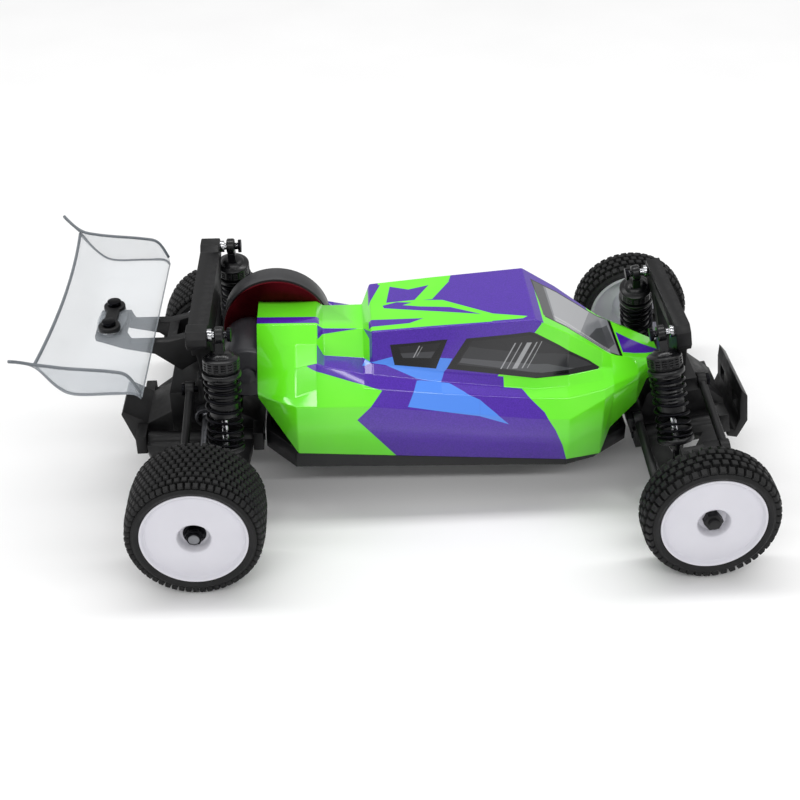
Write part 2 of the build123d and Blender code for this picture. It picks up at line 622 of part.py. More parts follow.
# ---- body shell ---------------------------------------------------------------
# Half sections from the skirt up: (y, z) of the skirt, side top, shoulder, belt,
# window sill and roof edge. The first value is the distance from the rear axle,
# or, marked "f", from the front axle.
SKIRT = None               # the skirt's height here comes from skirt_z
SECTIONS = (
    ("r", 16.0, (20.0, 35.8), (20.6, 36.8), (20.0, 38.0), (15.5, 41.6), (10.6, 47.0), (6.6, 51.2)),
    ("r", 26.6, (25.0, SKIRT), (25.0, 35.2), (22.6, 37.2), (17.6, 43.3), (10.8, 47.2), (6.6, 51.0)),
    ("r", 32.6, (25.0, SKIRT), (25.0, 35.0), (22.4, 39.4), (18.6, 45.4), (11.2, 47.2), (6.6, 50.9)),
    ("r", 34.4, (25.0, SKIRT), (25.0, 34.9), (22.4, 39.5), (18.8, 44.6), (10.6, 43.0), (6.6, 49.6)),
    ("r", 45.6, (25.0, SKIRT), (25.0, 34.8), (22.0, 39.1), (19.2, 41.8), (13.4, 43.6), (7.0, 49.4)),
    ("r", 48.0, (25.0, SKIRT), (25.0, 34.7), (22.0, 38.9), (19.4, 41.5), (17.4, 44.2), (14.0, 52.2)),
    ("r", 66.8, (25.0, SKIRT), (25.0, 32.4), (22.4, 36.8), (19.6, 38.7), (18.0, 41.0), (14.6, 53.7)),
    ("f", -43.0, (25.0, SKIRT), (25.0, 29.0), (22.4, 34.4), (19.6, 35.4), (18.0, 38.0), (15.4, 55.5)),
    ("f", -33.2, (25.0, SKIRT), (25.0, 28.3), (21.6, 33.5), (18.8, 35.5), (17.0, 38.2), (14.0, 49.9)),
    ("f", -23.0, (21.4, 14.0), (21.4, 32.6), (19.8, 34.9), (17.6, 36.6), (14.6, 38.7), (12.0, 42.9)),
    ("f", -20.2, (18.6, 21.0), (19.6, 33.7), (18.6, 35.6), (16.6, 36.9), (14.0, 38.5), (11.4, 41.1)),
    ("f", -12.2, (14.3, 26.7), (14.3, 35.0), (13.8, 35.8), (12.8, 36.6), (10.8, 37.5), (8.5, 38.1)),
    ("f", -8.7, (9.6, 31.5), (9.6, 35.0), (9.4, 35.6), (8.8, 36.2), (8.2, 36.7), (7.6, 37.1)),
    ("f", -4.4, (6.0, 32.6), (6.0, 34.0), (5.8, 34.7), (5.6, 35.3), (5.3, 35.9), (5.0, 36.3)),
)


def shell_outline(row, x, inset):
    """Closed outline of the section at x, pulled in by `inset`, as (y, z) points."""
    roof = ROOF_LIFT * max(0.0, min(1.0, (row[7][1] - 38.0) / 17.5))
    hem = skirt_z(x) if row[2][1] is SKIRT else row[2][1]
    half = [(row[2][0] - inset, hem - (30.0 if inset else 0.0))]
    for i, (y, z) in enumerate(row[3:]):
        lift = roof * i / 4
        half.append((y - inset * (1.0, 0.95, 0.8, 0.8, 0.75)[i], z + lift - inset * (0.1, 0.5, 0.6, 0.6, 1.0)[i]))
    return half + [(-y, z) for y, z in reversed(half)]


def shell_loft(inset, pad):
    faces = []
    last = len(SECTIONS) - 1
    for i, row in enumerate(SECTIONS):
        x = (XR if row[0] == "r" else XF) + row[1]
        points = shell_outline(row, x, inset)
        x += -pad if i == 0 else (-SHELL_WALL if pad and i == last else 0.0)
        faces.append(make_face(Polyline([(x, y, z) for y, z in points], close=True)))
    return loft(faces, ruled=True)


def body_shell():
    """Thin creased shell, open below and behind, with a slot for the gear cover."""
    part = shell_loft(0.0, 0.0) - shell_loft(SHELL_WALL, 3.0)
    x = XR + COVER[0] + COVER_R + 1.0
    part -= box(XR + 10, x, 6.2, COVER_Y[1] + 1.0, 0, 80)
    return Pos(0, 0, LIFT) * part


# ---- fasteners ----------------------------------------------------------------
def screws():
    """Shock and link studs, lower hinge pins and the wing screws."""
    parts = []
    for c, frame, face, way in ((REAR, REAR_FRAME, TOWER_BACK, 1), (FRONT, FRONT_FRAME, F_TOWER[1], -1)):
        far = c["shock_x"] + way * 2.2
        near = TOWER_FRONT if way > 0 else F_TOWER[0]
        y, z = c["top"]
        stud = bar_x(min(face, far), max(face, far), y, z, PIN_R)
        stud += bar_x(min(near, near + way * 1.2), max(near, near + way * 1.2), y, z, 1.7)
        stud += bar_x(min(far, far + way * 0.9), max(far, far + way * 0.9), y, z, 1.9)
        py, pz = c["pin"]
        pin = bar_x(c["arm_x"][0] - 3.6, c["arm_x"][1] + 3.6, py, pz, PIN_R)
        ly, lz = c["link"]
        end = c["link_x"] - way * 1.4
        root = TOWER_FRONT if way > 0 else F_TOWER[0]
        link = bar_x(min(root, end), max(root, end), ly, lz, PIN_R)
        link += bar_x(min(end, end - way * 0.8), max(end, end - way * 0.8), ly, lz, 1.8)
        for piece in (stud, pin, link):
            parts += [frame * piece, mirrored(frame * piece)]
    for s in (1, -1):
        bolt = bar_z(-24.9, s * 5.7, 28.4, WING_SEAT + WING_WALL + 1.8, PIN_R)
        bolt += bar_z(-24.9, s * 5.7, WING_SEAT + WING_WALL + 1.8, WING_SEAT + WING_WALL + 3.0, 1.9)
        parts.append(REAR_FRAME * bolt)
    return Compound(children=parts)


def wing_button():
    """Dumbbell washer that spreads the two wing screws."""
    z0, z1 = WING_SEAT + WING_WALL, WING_SEAT + WING_WALL + 1.8
    part = box(-26.6, -23.2, -5.7, 5.7, z0, z1)
    for s in (1, -1):
        part += bar_z(-24.9, s * 5.7, z0, z1, 3.0)
    for s in (1, -1):
        part -= bar_z(-24.9, s * 5.7, z0 - 1, z1 + 1, PIN_R)
    return part


# ---- write the files ------------------------------------------------------------
for end, c, frame in (("rear", REAR, REAR_FRAME), ("front", FRONT, FRONT_FRAME)):
    save_pair(frame * lower_arm(c), f"arm_{end}")
    save_pair(frame * camber_link(c), f"camber_link_{end}")
    save_pair(frame * shock_body(c), f"shock_body_{end}")
    save_pair(frame * shock_rod(c), f"shock_rod_{end}")
    save_pair(frame * spring(c), f"spring_{end}")
    save_pair(frame * tyre(c), f"tyre_{end}")

save_pair(REAR_FRAME * rear_hub(REAR), "hub_rear")
save_pair(REAR_FRAME * Compound(children=[rim(REAR, AXLE_R), rear_axle(REAR)]), "wheel_rear")
save_pair(REAR_FRAME * dogbone(REAR), "drive_shaft")
save_pair(FRONT_FRAME * caster_block(FRONT), "caster_block")
save_pair(FRONT_FRAME * knuckle(FRONT), "knuckle")
save_pair(FRONT_FRAME * rim(FRONT, AXLE_R + RUN), "wheel_front")
save_pair(FRONT_FRAME * tie_rod(FRONT), "tie_rod")

save(REAR_FRAME * rear_diff(), "rear_diff")
save(REAR_FRAME * spur_gear(), "spur_gear")
save(REAR_FRAME * motor_pinion(), "motor_pinion")
save(REAR_FRAME * gear_cover(), "gear_cover")
save(REAR_FRAME * motor_plate(), "motor_plate")
save(REAR_FRAME * motor(), "motor")
save(REAR_FRAME * rear_gearbox(), "rear_gearbox")
save(REAR_FRAME * rear_tower(), "rear_shock_tower")
save(REAR_FRAME * wing_mount(), "wing_mount")
save(REAR_FRAME * rear_wing(), "rear_wing")
save(REAR_FRAME * wing_button(), "wing_button")
save(front_bulkhead(), "front_bulkhead")
save(front_tower(), "front_shock_tower")
save(front_bumper(), "front_bumper")
save(steering_rack(), "steering_rack")
save(servo_horn(), "servo_horn")
save(servo(), "servo")
save(battery(), "battery")
save(receiver_esc(), "receiver_esc")
save(chassis_tray(), "chassis_tray")
save(body_shell(), "body_shell")
save(screws(), "screws")
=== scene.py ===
# %% [markdown]
# A small off-road buggy, about 200 mm long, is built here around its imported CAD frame.
# The frame already gives every moulded and metal part in its place, so each step below
# either gives a CAD part its real finish or replaces it with a finer mesh that rides on
# the same body. The frame comes first, because every later size is read from it.

# %% Load the frame
import math

import bmesh
import bpy
from mathutils import Matrix, Vector


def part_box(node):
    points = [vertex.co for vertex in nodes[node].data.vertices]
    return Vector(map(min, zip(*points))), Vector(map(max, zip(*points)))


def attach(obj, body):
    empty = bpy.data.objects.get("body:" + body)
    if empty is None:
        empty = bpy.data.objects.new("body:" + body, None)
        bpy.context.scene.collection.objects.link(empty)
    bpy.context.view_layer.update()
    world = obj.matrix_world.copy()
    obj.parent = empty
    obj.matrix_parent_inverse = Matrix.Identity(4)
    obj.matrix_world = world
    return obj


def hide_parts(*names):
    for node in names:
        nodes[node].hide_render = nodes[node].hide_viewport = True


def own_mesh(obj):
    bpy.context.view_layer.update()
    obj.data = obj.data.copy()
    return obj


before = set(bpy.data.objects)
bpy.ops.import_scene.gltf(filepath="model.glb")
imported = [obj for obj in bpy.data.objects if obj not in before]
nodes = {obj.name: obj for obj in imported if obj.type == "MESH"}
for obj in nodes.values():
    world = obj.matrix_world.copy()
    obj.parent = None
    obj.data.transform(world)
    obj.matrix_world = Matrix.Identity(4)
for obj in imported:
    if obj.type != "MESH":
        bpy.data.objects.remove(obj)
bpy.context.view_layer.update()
MM = 0.001


def middle(node):
    """Middle of a CAD node's box, in mm."""
    low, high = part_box(node)
    return (low + high) / 2 / MM


rear_axle = middle("tyre_rear_left")
front_axle = middle("tyre_front_left")
XR, XF, R = rear_axle.x, front_axle.x, rear_axle.z
print("rear axle", round(XR, 2), "front axle", round(XF, 2), "height", round(R, 2))

# %% [markdown]
# Every finish is drawn with shader nodes. One small function adds a node, fills or links
# its inputs and sets its options; another turns a paint chip's hex value into the linear
# colour that the renderer works in.

# %% Colour and node helpers
def linear(chip):
    """sRGB hex such as "78F532" to linear RGBA."""
    parts = [int(chip[i:i + 2], 16) / 255 for i in (0, 2, 4)]
    return [c / 12.92 if c <= 0.04045 else ((c + 0.055) / 1.055) ** 2.4 for c in parts] + [1.0]


def add(finish, kind, inputs=None, **options):
    """One node in a finish, with its inputs linked or filled and its options set."""
    made = finish.node_tree.nodes.new("ShaderNode" + kind)
    for key, value in options.items():
        setattr(made, key, value)
    for key, value in (inputs or {}).items():
        if isinstance(value, bpy.types.NodeSocket):
            finish.node_tree.links.new(value, made.inputs[key])
        else:
            made.inputs[key].default_value = value
    return made


def start_finish(name, **constants):
    """A new finish with constants set straight on its shader; underscores stand for spaces."""
    finish = bpy.data.materials.new(name)
    finish.use_nodes = True
    shader = finish.node_tree.nodes["Principled BSDF"]
    for key, value in constants.items():
        shader.inputs[key.replace("_", " ")].default_value = value
    return finish, shader


def place_mm(finish):
    """Position on the piece in mm, the same in every pose."""
    spot = add(finish, "TexCoord").outputs["Object"]
    return add(finish, "VectorMath", {0: spot, "Scale": 1 / MM}, operation="SCALE").outputs[0]


def blend_colour(finish, share, under, over):
    mix = add(finish, "Mix", {0: share, 6: under, 7: over}, data_type="RGBA")
    return mix.outputs[2]


def surface(name, dark, light, patch, grain, depth, rough, **constants):
    """A finish with soft colour patches and a fine grain.
    patch and grain are feature sizes in mm, depth the grain's height in mm,
    rough the lowest and highest roughness."""
    finish, shader = start_finish(name, **constants)
    link = finish.node_tree.links.new
    spot = place_mm(finish)
    cloud = add(finish, "TexNoise", {"Vector": spot, "Scale": 1 / patch, "Detail": 3.0})
    colour = blend_colour(finish, cloud.outputs["Fac"], linear(dark), linear(light))
    link(colour, shader.inputs["Base Color"])
    span = add(finish, "MapRange", {"Value": cloud.outputs["Fac"], "From Min": 0.3, "From Max": 0.7,
                                    "To Min": rough[0], "To Max": rough[1]})
    link(span.outputs[0], shader.inputs["Roughness"])
    pits = add(finish, "TexNoise", {"Vector": spot, "Scale": 1 / grain, "Detail": 2.0})
    bump = add(finish, "Bump", {"Height": pits.outputs["Fac"], "Distance": depth * MM, "Strength": 0.6})
    link(bump.outputs[0], shader.inputs["Normal"])
    return finish


# %% [markdown]
# The running gear is glass-filled nylon, injection moulded in textured steel tools. The
# fibres at the skin mottle its black very slightly, and the tool's spark-eroded texture
# keeps it satin. The tub is the same plastic from a smoother
# tool. The grain on the real part is about 0.1 mm; it is drawn at 0.25 mm so that it shows.

# %% Moulded plastics
nylon = surface("glass_filled_nylon_moulded", "070708", "101012", 2.5, 0.25, 0.03, (0.4, 0.56), IOR=1.53,
                Specular_IOR_Level=0.32)
tub_nylon = surface("tub_nylon_smooth_moulded", "08080A", "0F0F12", 6.0, 0.3, 0.015, (0.36, 0.5), IOR=1.53,
                    Specular_IOR_Level=0.35)
shock_nylon = surface("shock_nylon_polished_tool", "070709", "0D0D10", 3.0, 0.3, 0.008, (0.24, 0.36), IOR=1.53,
                      Specular_IOR_Level=0.4)
cover_grey = surface("gear_cover_grey_abs", "2B2B2D", "363638", 4.0, 0.3, 0.012, (0.38, 0.5), IOR=1.54)
gear_acetal = surface("spur_gear_black_acetal", "1B1B1D", "252528", 2.0, 0.25, 0.01, (0.3, 0.42), IOR=1.48)
case_plastic = surface("servo_case_abs", "17171A", "222226", 3.0, 0.25, 0.015, (0.4, 0.52), IOR=1.54)
board_green = surface("receiver_board_solder_mask", "0E2A1C", "15402B", 1.2, 0.5, 0.04, (0.3, 0.5), IOR=1.5)
wrap_film = surface("battery_shrink_wrap", "15306B", "1C3D86", 5.0, 1.2, 0.05, (0.2, 0.34), IOR=1.55)
print("plastics:", nylon.name, tub_nylon.name, shock_nylon.name)

# %% [markdown]
# The wheels are unfilled white nylon, which lets a little light in under its skin, so its
# shadows stay soft. The tyres are a soft black rubber, dulled by mould release and never
# glossy.

# %% Wheel nylon and tyre rubber
dish_white = surface("wheel_white_nylon_moulded", "D3D2DA", "DDDCE3", 8.0, 0.4, 0.008, (0.36, 0.46), IOR=1.53,
                     Subsurface_Weight=0.12, Subsurface_Radius=(0.004, 0.004, 0.004), Subsurface_Scale=0.3)
tyre_rubber = surface("tyre_rubber_compound", "0A0A0B", "131314", 3.0, 0.2, 0.04, (0.55, 0.7), IOR=1.52,
                      Specular_IOR_Level=0.35)

# %% [markdown]
# Metals are told apart by how they were finished. Shock shafts and studs are ground and
# polished steel, springs and nuts are steel blackened in a hot bath, the motor plate is
# aluminium dyed red in its anodised layer, and the motor can is painted steel. The plate's
# red is painted much darker than the metal's own, as painted shade for the gloom it sits in
# between the shock tower and the shell.

# %% Metals
polished = surface("ground_polished_steel", "B9BABD", "D0D1D4", 2.0, 0.3, 0.003, (0.14, 0.24), Metallic=1.0)
blackened = surface("blackened_steel", "101012", "1E1E22", 1.5, 0.25, 0.006, (0.28, 0.42), Metallic=1.0)
# painted shade: this red is darker than the anodised plate's own colour, standing in for the shade between the
# tower and the shell
red_plate_painted_shade = surface("red_anodised_aluminium_painted_shade", "420A10", "561018", 3.0, 0.25, 0.006, (0.3, 0.4), Metallic=1.0)
shaft_steel = surface("bright_turned_steel", "6D6E72", "85868A", 2.0, 0.3, 0.006, (0.26, 0.4), Metallic=1.0)
can_steel = surface("motor_can_painted_steel", "2A2A2D", "3A3A3E", 4.0, 0.3, 0.006, (0.28, 0.4), IOR=1.5)
print("metals:", polished.name, blackened.name, red_plate_painted_shade.name)

# %% [markdown]
# The wing is vacuum-formed from clear polycarbonate sheet. Real refraction in a 0.8 mm
# sheet bends nothing that can be seen, so it is made as a nearly clear film with gloss on
# its faces. Its cut edges are a little frosted, and their grey, nearly solid colour is
# painted shade, standing in for the dark line a clear edge shows where it bends the light.

# %% Clear sheet
clear_sheet = surface("clear_polycarbonate_sheet", "B4BCC4", "C6CCD2", 20.0, 3.0, 0.01, (0.05, 0.1), IOR=1.58,
                      Alpha=0.25, Coat_Weight=0.4, Coat_Roughness=0.04)
# painted shade: the grey, nearly solid cut edge stands in for the dark line a clear sheet's edge shows as it
# bends light; its frosting is real
clear_edge_painted_shade = surface("clear_sheet_cut_edge_painted_shade", "5E646A", "7C8288", 4.0, 0.4, 0.02, (0.3, 0.45),
                     IOR=1.58, Alpha=0.9)

# %% [markdown]
# The shell's livery is sprayed and masked on the inside of clear polycarbonate, so every
# colour sits under one even gloss and its borders are knife sharp. Here each masked patch
# is a convex outline in mm: a point is inside when it lies on the inner side of every
# edge, which is a dot product per edge and a minimum. Flat patches seen from the side use
# (x, z), those seen from above use (x, y). Nothing is unwrapped, so nothing stretches.

# %% Masked patches
EDGE_SHARPNESS = 9.0       # paint borders blur over about a ninth of a millimetre
LIVERY_ZERO = XR + 53.0    # the masks' x is counted from here, about the driver's seat


def plan_vector(finish, across):
    """(x, z, 1) or (x, y, 1) in mm, so that one dot product gives a distance to an edge."""
    split = add(finish, "SeparateXYZ", {0: place_mm(finish)})
    along = add(finish, "Math", {0: split.outputs["X"], 1: LIVERY_ZERO}, operation="SUBTRACT")
    return add(finish, "CombineXYZ", {0: along.outputs[0], 1: split.outputs[across], 2: 1.0}).outputs[0]


def patch(finish, plan, corners):
    """Share, 0 to 1, of a convex patch at each point."""
    cu = sum(c[0] for c in corners) / len(corners)
    cv = sum(c[1] for c in corners) / len(corners)
    depth = None
    for (u0, v0), (u1, v1) in zip(corners, corners[1:] + corners[:1]):
        nu, nv = v0 - v1, u1 - u0
        size = math.hypot(nu, nv)
        nu, nv = nu / size, nv / size
        if (cu - u0) * nu + (cv - v0) * nv < 0:
            nu, nv = -nu, -nv
        edge = add(finish, "VectorMath", {0: plan, 1: (nu, nv, -(nu * u0 + nv * v0))}, operation="DOT_PRODUCT")
        inside = edge.outputs["Value"]
        if depth is None:
            depth = inside
        else:
            depth = add(finish, "Math", {0: depth, 1: inside}, operation="MINIMUM").outputs[0]
    return add(finish, "Math", {0: depth, 1: EDGE_SHARPNESS}, operation="MULTIPLY", use_clamp=True).outputs[0]


GREEN, PURPLE, BLUE, BLACK = "6CF01E", "4C1FA8", "4F8CF0", "08080A"


def livery(name, across, base, layers):
    """Shell paint: a base colour and patches laid over it in order, under a clear gloss."""
    finish, shader = start_finish(name, IOR=1.58, Roughness=0.3, Specular_IOR_Level=0.1,
                                   Coat_Weight=0.8, Coat_Roughness=0.1, Coat_IOR=1.6)
    plan = plan_vector(finish, across)
    spot = place_mm(finish)
    flake = add(finish, "TexNoise", {"Vector": spot, "Scale": 1 / 0.35, "Detail": 1.0})
    pearl = blend_colour(finish, flake.outputs["Fac"], linear("350F86"), linear("5A28BC"))
    wave = add(finish, "TexNoise", {"Vector": spot, "Scale": 1 / 14.0, "Detail": 1.0})
    leaf = blend_colour(finish, wave.outputs["Fac"], linear("5FEA12"), linear("7BF735"))
    paints = {PURPLE: pearl, GREEN: leaf}
    colour = paints.get(base) or linear(base)
    for chip, strength, corners in layers:
        share = patch(finish, plan, corners)
        if strength < 1.0:
            share = add(finish, "Math", {0: share, 1: strength}, operation="MULTIPLY").outputs[0]
        colour = blend_colour(finish, share, colour, paints.get(chip) or linear(chip))
    finish.node_tree.links.new(colour, shader.inputs["Base Color"])
    ripple = add(finish, "TexNoise", {"Vector": spot, "Scale": 1 / 9.0, "Detail": 1.0})
    bump = add(finish, "Bump", {"Height": ripple.outputs["Fac"], "Distance": 0.08 * MM, "Strength": 0.5})
    finish.node_tree.links.new(bump.outputs[0], shader.inputs["Normal"])
    finish.node_tree.links.new(bump.outputs[0], shader.inputs["Coat Normal"])
    return finish


# %% [markdown]
# The flanks, seen from the side. The purple field is a lozenge with a pointed back and a
# curved front; the blue swoosh is two convex pieces, a broad head and a thin tail.

# %% Flank livery
flank = livery("painted_shell_flank", "Z", GREEN, [
    (PURPLE, 1, [(-23.2, 44.2), (-2.7, 38.2), (5.0, 38.2), (5.0, 52.0), (-23.2, 52.0)]),
    (PURPLE, 1, [(-9.8, 30.5), (-0.2, 41.0), (29.0, 41.0), (38.5, 34.6),
                 (42.8, 30.5), (46.0, 25.1), (48.3, 19.8),
                 (50.5, 12.0), (6.2, 12.0)]),
    (BLUE, 1, [(4.3, 34.1), (7.1, 39.6), (13.5, 39.6), (24.5, 34.8), (24.5, 30.5)]),
    (BLUE, 1, [(24.4, 34.9), (29.2, 31.0), (32.9, 27.4), (24.4, 30.5)]),
])

belt_paint = livery("painted_shell_belt", "Y", GREEN, [
    (PURPLE, 1, [(-20.4, -30), (32.0, -30), (29.6, 30), (-20.4, 30)]),
    (BLUE, 1, [(-8.0, -16.2), (7.1, -19.4), (13.8, -19.8), (15.4, -17.0), (-6.0, -12.0)]),
    (BLUE, 1, [(-8.0, 16.2), (7.1, 19.4), (13.8, 19.8), (15.4, 17.0), (-6.0, 12.0)]),
])

# %% [markdown]
# The cabin sides carry the printed windows: a black frame, smoked glass that pales
# downwards, and slanting glints. The windows are paint too, so they share the shell's gloss.

# %% Cabin side livery with windows
GLINTS = ((30.4, 0.5), (32.2, 0.4), (33.8, 1.5), (36.4, 0.5), (37.9, 0.35))    # foot and width in mm
GLINT_LEAN = 4.0
cabin_layers = [
    (PURPLE, 1, [(-20.2, 47.9), (-5.6, 49.7), (-5.6, 56.0), (-20.2, 56.0)]),
    (PURPLE, 1, [(-5.8, 30.0), (22.5, 30.0), (29.9, 39.2), (41.8, 52.6), (41.8, 60.0), (-5.8, 60.0)]),
    (BLUE, 1, [(-7.0, 42.5), (-5.2, 44.5), (0.3, 45.8), (18.2, 44.8), (15.6, 41.9),
               (13.5, 38.0), (-7.0, 38.0)]),
    (BLACK, 1, [(-0.2, 49.0), (15.9, 50.2), (12.6, 42.0), (1.0, 43.4)]),
    ("1C1C1F", 1, [(2.2, 48.4), (14.2, 49.3), (11.3, 45.0), (3.4, 45.3)]),
    ("55565A", 0.5, [(2.6, 46.7), (12.4, 46.9), (11.3, 45.0), (3.4, 45.3)]),
    ("C9CACD", 0.6, [(6.1, 45.3), (6.5, 45.3), (8.3, 48.6), (7.9, 48.6)]),
    ("C9CACD", 0.5, [(7.1, 45.6), (7.4, 45.6), (9.0, 48.3), (8.7, 48.3)]),
    (BLACK, 1, [(15.4, 41.9), (21.0, 50.4), (38.6, 52.0), (40.2, 51.6),
                (59.2, 39.1), (58.3, 38.1), (42.6, 37.7)]),
    ("1A1A1D", 1, [(18.2, 43.1), (22.4, 49.7), (38.8, 51.0), (57.2, 39.8), (42.4, 39.4)]),
    ("3A3B3E", 0.5, [(20.0, 45.6), (21.6, 48.2), (50.0, 44.2), (57.2, 39.8), (42.4, 39.4), (18.2, 43.1)]),
    ("66676B", 0.5, [(19.0, 43.6), (19.8, 45.0), (44.0, 41.9), (52.0, 39.8), (42.4, 39.4)]),
]
for x, w in GLINTS:
    glint = [(x, 41.2), (x + w, 41.2), (x + w + GLINT_LEAN, 48.9), (x + GLINT_LEAN, 48.9)]
    cabin_layers.append(("D4D5D8", 0.5, glint))
cabin_side = livery("painted_cabin_side", "Z", GREEN, cabin_layers)

# %% [markdown]
# The top, seen from above: a green deck with a purple stripe, the purple roof with its
# green spikes, and the printed windscreen with a wedge of purple on the nose.

# %% Top livery with windscreen
top_layers = [
    (PURPLE, 1, [(-38.0, -2.3), (-19.6, -2.3), (-19.6, -5.9), (-38.0, -5.9)]),
    (PURPLE, 1, [(-5.6, -20), (42.4, -20), (42.4, 20), (-5.6, 20)]),
    (GREEN, 1, [(-2.5, 12.8), (6.2, 8.2), (18.2, 11.2), (19.5, 16.5), (-2.5, 16.5)]),
    (GREEN, 1, [(-1.5, 13.8), (1.3, 13.2), (-0.5, 1.0), (-5.8, 1.0)]),
    (GREEN, 1, [(12.6, 10.6), (18.4, 11.2), (12.7, 1.2), (7.3, 1.2)]),
    (GREEN, 1, [(-5.8, 1.6), (7.5, 1.8), (15.6, 0.2), (31.5, -12.0), (28.0, -14.4), (-5.8, -13.4)]),
    (GREEN, 1, [(24.0, -8.4), (38.2, -13.0), (36.7, -14.1), (20.0, -14.0)]),
    (PURPLE, 1, [(-1.6, 0.2), (2.5, 1.5), (12.4, -0.9), (26.5, -10.2), (10.0, -5.0), (-1.2, -1.6)]),
    (GREEN, 1, [(8.0, 0.9), (14.0, -0.4), (22.0, -5.4), (9.0, -2.4), (4.0, -0.6)]),
    (PURPLE, 1, [(-5.8, -7.2), (9.7, -9.1), (5.5, -11.2), (-5.8, -11.2)]),
    (PURPLE, 1, [(42.0, 9.9), (60.0, 9.9), (56.0, 20.0), (42.0, 20.0)]),
    (BLACK, 1, [(43.4, -10.6), (66.6, -10.8), (66.6, 10.8), (41.8, 10.6)]),
    ("7E8084", 1, [(44.0, -9.9), (65.7, -10.2), (65.7, 10.2), (43.2, 9.9)]),
    ("B4B5B8", 0.75, [(46.6, -9.9), (54.0, -9.0), (60.0, 10.1), (46.4, 9.9)]),
    ("4A4B4D", 1, [(43.0, -9.9), (46.2, -9.9), (45.8, 9.9), (42.4, 9.9)]),
    ("3C3D40", 0.85, [(56.8, -7.6), (60.5, 1.0), (64.9, 6.6), (65.4, -4.0), (62.0, -9.6)]),
    (PURPLE, 1, [(67.0, 4.0), (67.0, -7.8), (77.0, -3.4), (80.0, -1.6)]),
]
for y in (-9.3, -8.6, -7.4, -6.9):
    top_layers.append(("EDEDEF", 0.6, [(46.4, y), (46.4, y - 0.35), (63.0, y - 1.9), (63.0, y - 1.6)]))
roof_top = livery("painted_shell_top", "Y", GREEN, top_layers)
backing = surface("shell_inside_backing_paint", "2B2B2D", "39393C", 6.0, 0.6, 0.02, (0.5, 0.65), IOR=1.5)
print("shell paints:", flank.name, belt_paint.name, cabin_side.name, roof_top.name)

# %% [markdown]
# Mesh helpers. A piece is built in its own simple axes in mm, set in place by a matrix and
# stored in metres, so that every object sits at the origin as the CAD nodes do.

# %% Mesh helpers
def make_piece(name, form, finishes, place=None, smooth=True):
    """Turns a bmesh in mm into an object in metres."""
    bmesh.ops.recalc_face_normals(form, faces=form.faces)
    form.transform(Matrix.Scale(MM, 4) @ (place or Matrix.Identity(4)))
    mesh = bpy.data.meshes.new(name)
    form.to_mesh(mesh)
    form.free()
    for finish in finishes:
        mesh.materials.append(finish)
    for face in mesh.polygons:
        face.use_smooth = smooth
    piece = bpy.data.objects.new(name, mesh)
    bpy.context.scene.collection.objects.link(piece)
    return piece


def rows_to_faces(form, rows, close_u=False, close_v=False):
    """Joins rows of vertices with quads; close_u joins last row to first, close_v ends to starts."""
    made = []
    for i in range(len(rows) if close_u else len(rows) - 1):
        a, b = rows[i], rows[(i + 1) % len(rows)]
        for k in range(len(a) if close_v else len(a) - 1):
            n = (k + 1) % len(a)
            made.append((i, k, form.faces.new((a[k], a[n], b[n], b[k]))))
    return made


def turned(form, profile, steps, axis="Z", centre=(0, 0, 0)):
    """Turns a closed profile of (along, radius) points round X, Y or Z through centre."""
    rows = []
    for i in range(steps):
        a = 2 * math.pi * i / steps
        row = []
        for along, radius in profile:
            c, s = radius * math.cos(a), radius * math.sin(a)
            spot = {"X": (along, c, s), "Y": (s, along, c), "Z": (c, s, along)}[axis]
            row.append(form.verts.new(Vector(spot) + Vector(centre)))
        rows.append(row)
    return rows_to_faces(form, rows, close_u=True, close_v=True)


def solid_turned(form, profile, steps, axis="Z", centre=(0, 0, 0)):
    """Turns an open profile whose ends lie on the axis, closed there with fans."""
    hub = profile[0][0], profile[-1][0]
    ring = profile[1:-1]
    ways = {"X": Vector((1, 0, 0)), "Y": Vector((0, 1, 0)), "Z": Vector((0, 0, 1))}
    ends = [form.verts.new(ways[axis] * h + Vector(centre)) for h in hub]
    rows = []
    for i in range(steps):
        a = 2 * math.pi * i / steps
        row = []
        for along, radius in ring:
            c, s = radius * math.cos(a), radius * math.sin(a)
            spot = {"X": (along, c, s), "Y": (s, along, c), "Z": (c, s, along)}[axis]
            row.append(form.verts.new(Vector(spot) + Vector(centre)))
        rows.append(row)
    rows_to_faces(form, rows, close_u=True)
    for i in range(steps):
        a, b = rows[i], rows[(i + 1) % steps]
        form.faces.new((ends[0], a[0], b[0]))
        form.faces.new((ends[1], b[-1], a[-1]))


def harden(piece, width, angle=30.0, segments=2):
    """Rounds a piece's edges by width mm and keeps its flats flat."""
    bevel = piece.modifiers.new("edges", "BEVEL")
    bevel.width = width * MM
    bevel.segments = segments
    bevel.limit_method = "ANGLE"
    bevel.angle_limit = math.radians(angle)
    bevel.harden_normals = True


# %% [markdown]
# The shell starts as a clear sheet pulled down over a mould, so it is one thin skin with
# soft folds. Its half sections, from the skirt up to the roof edge, are joined in strips:
# each strip keeps one finish, so folds and paint agree. The slot that clears the gear
# cover is cut while the sheet is still a single surface, as scissors would cut it; then
# the folds are rounded and the sheet is thickened inwards.

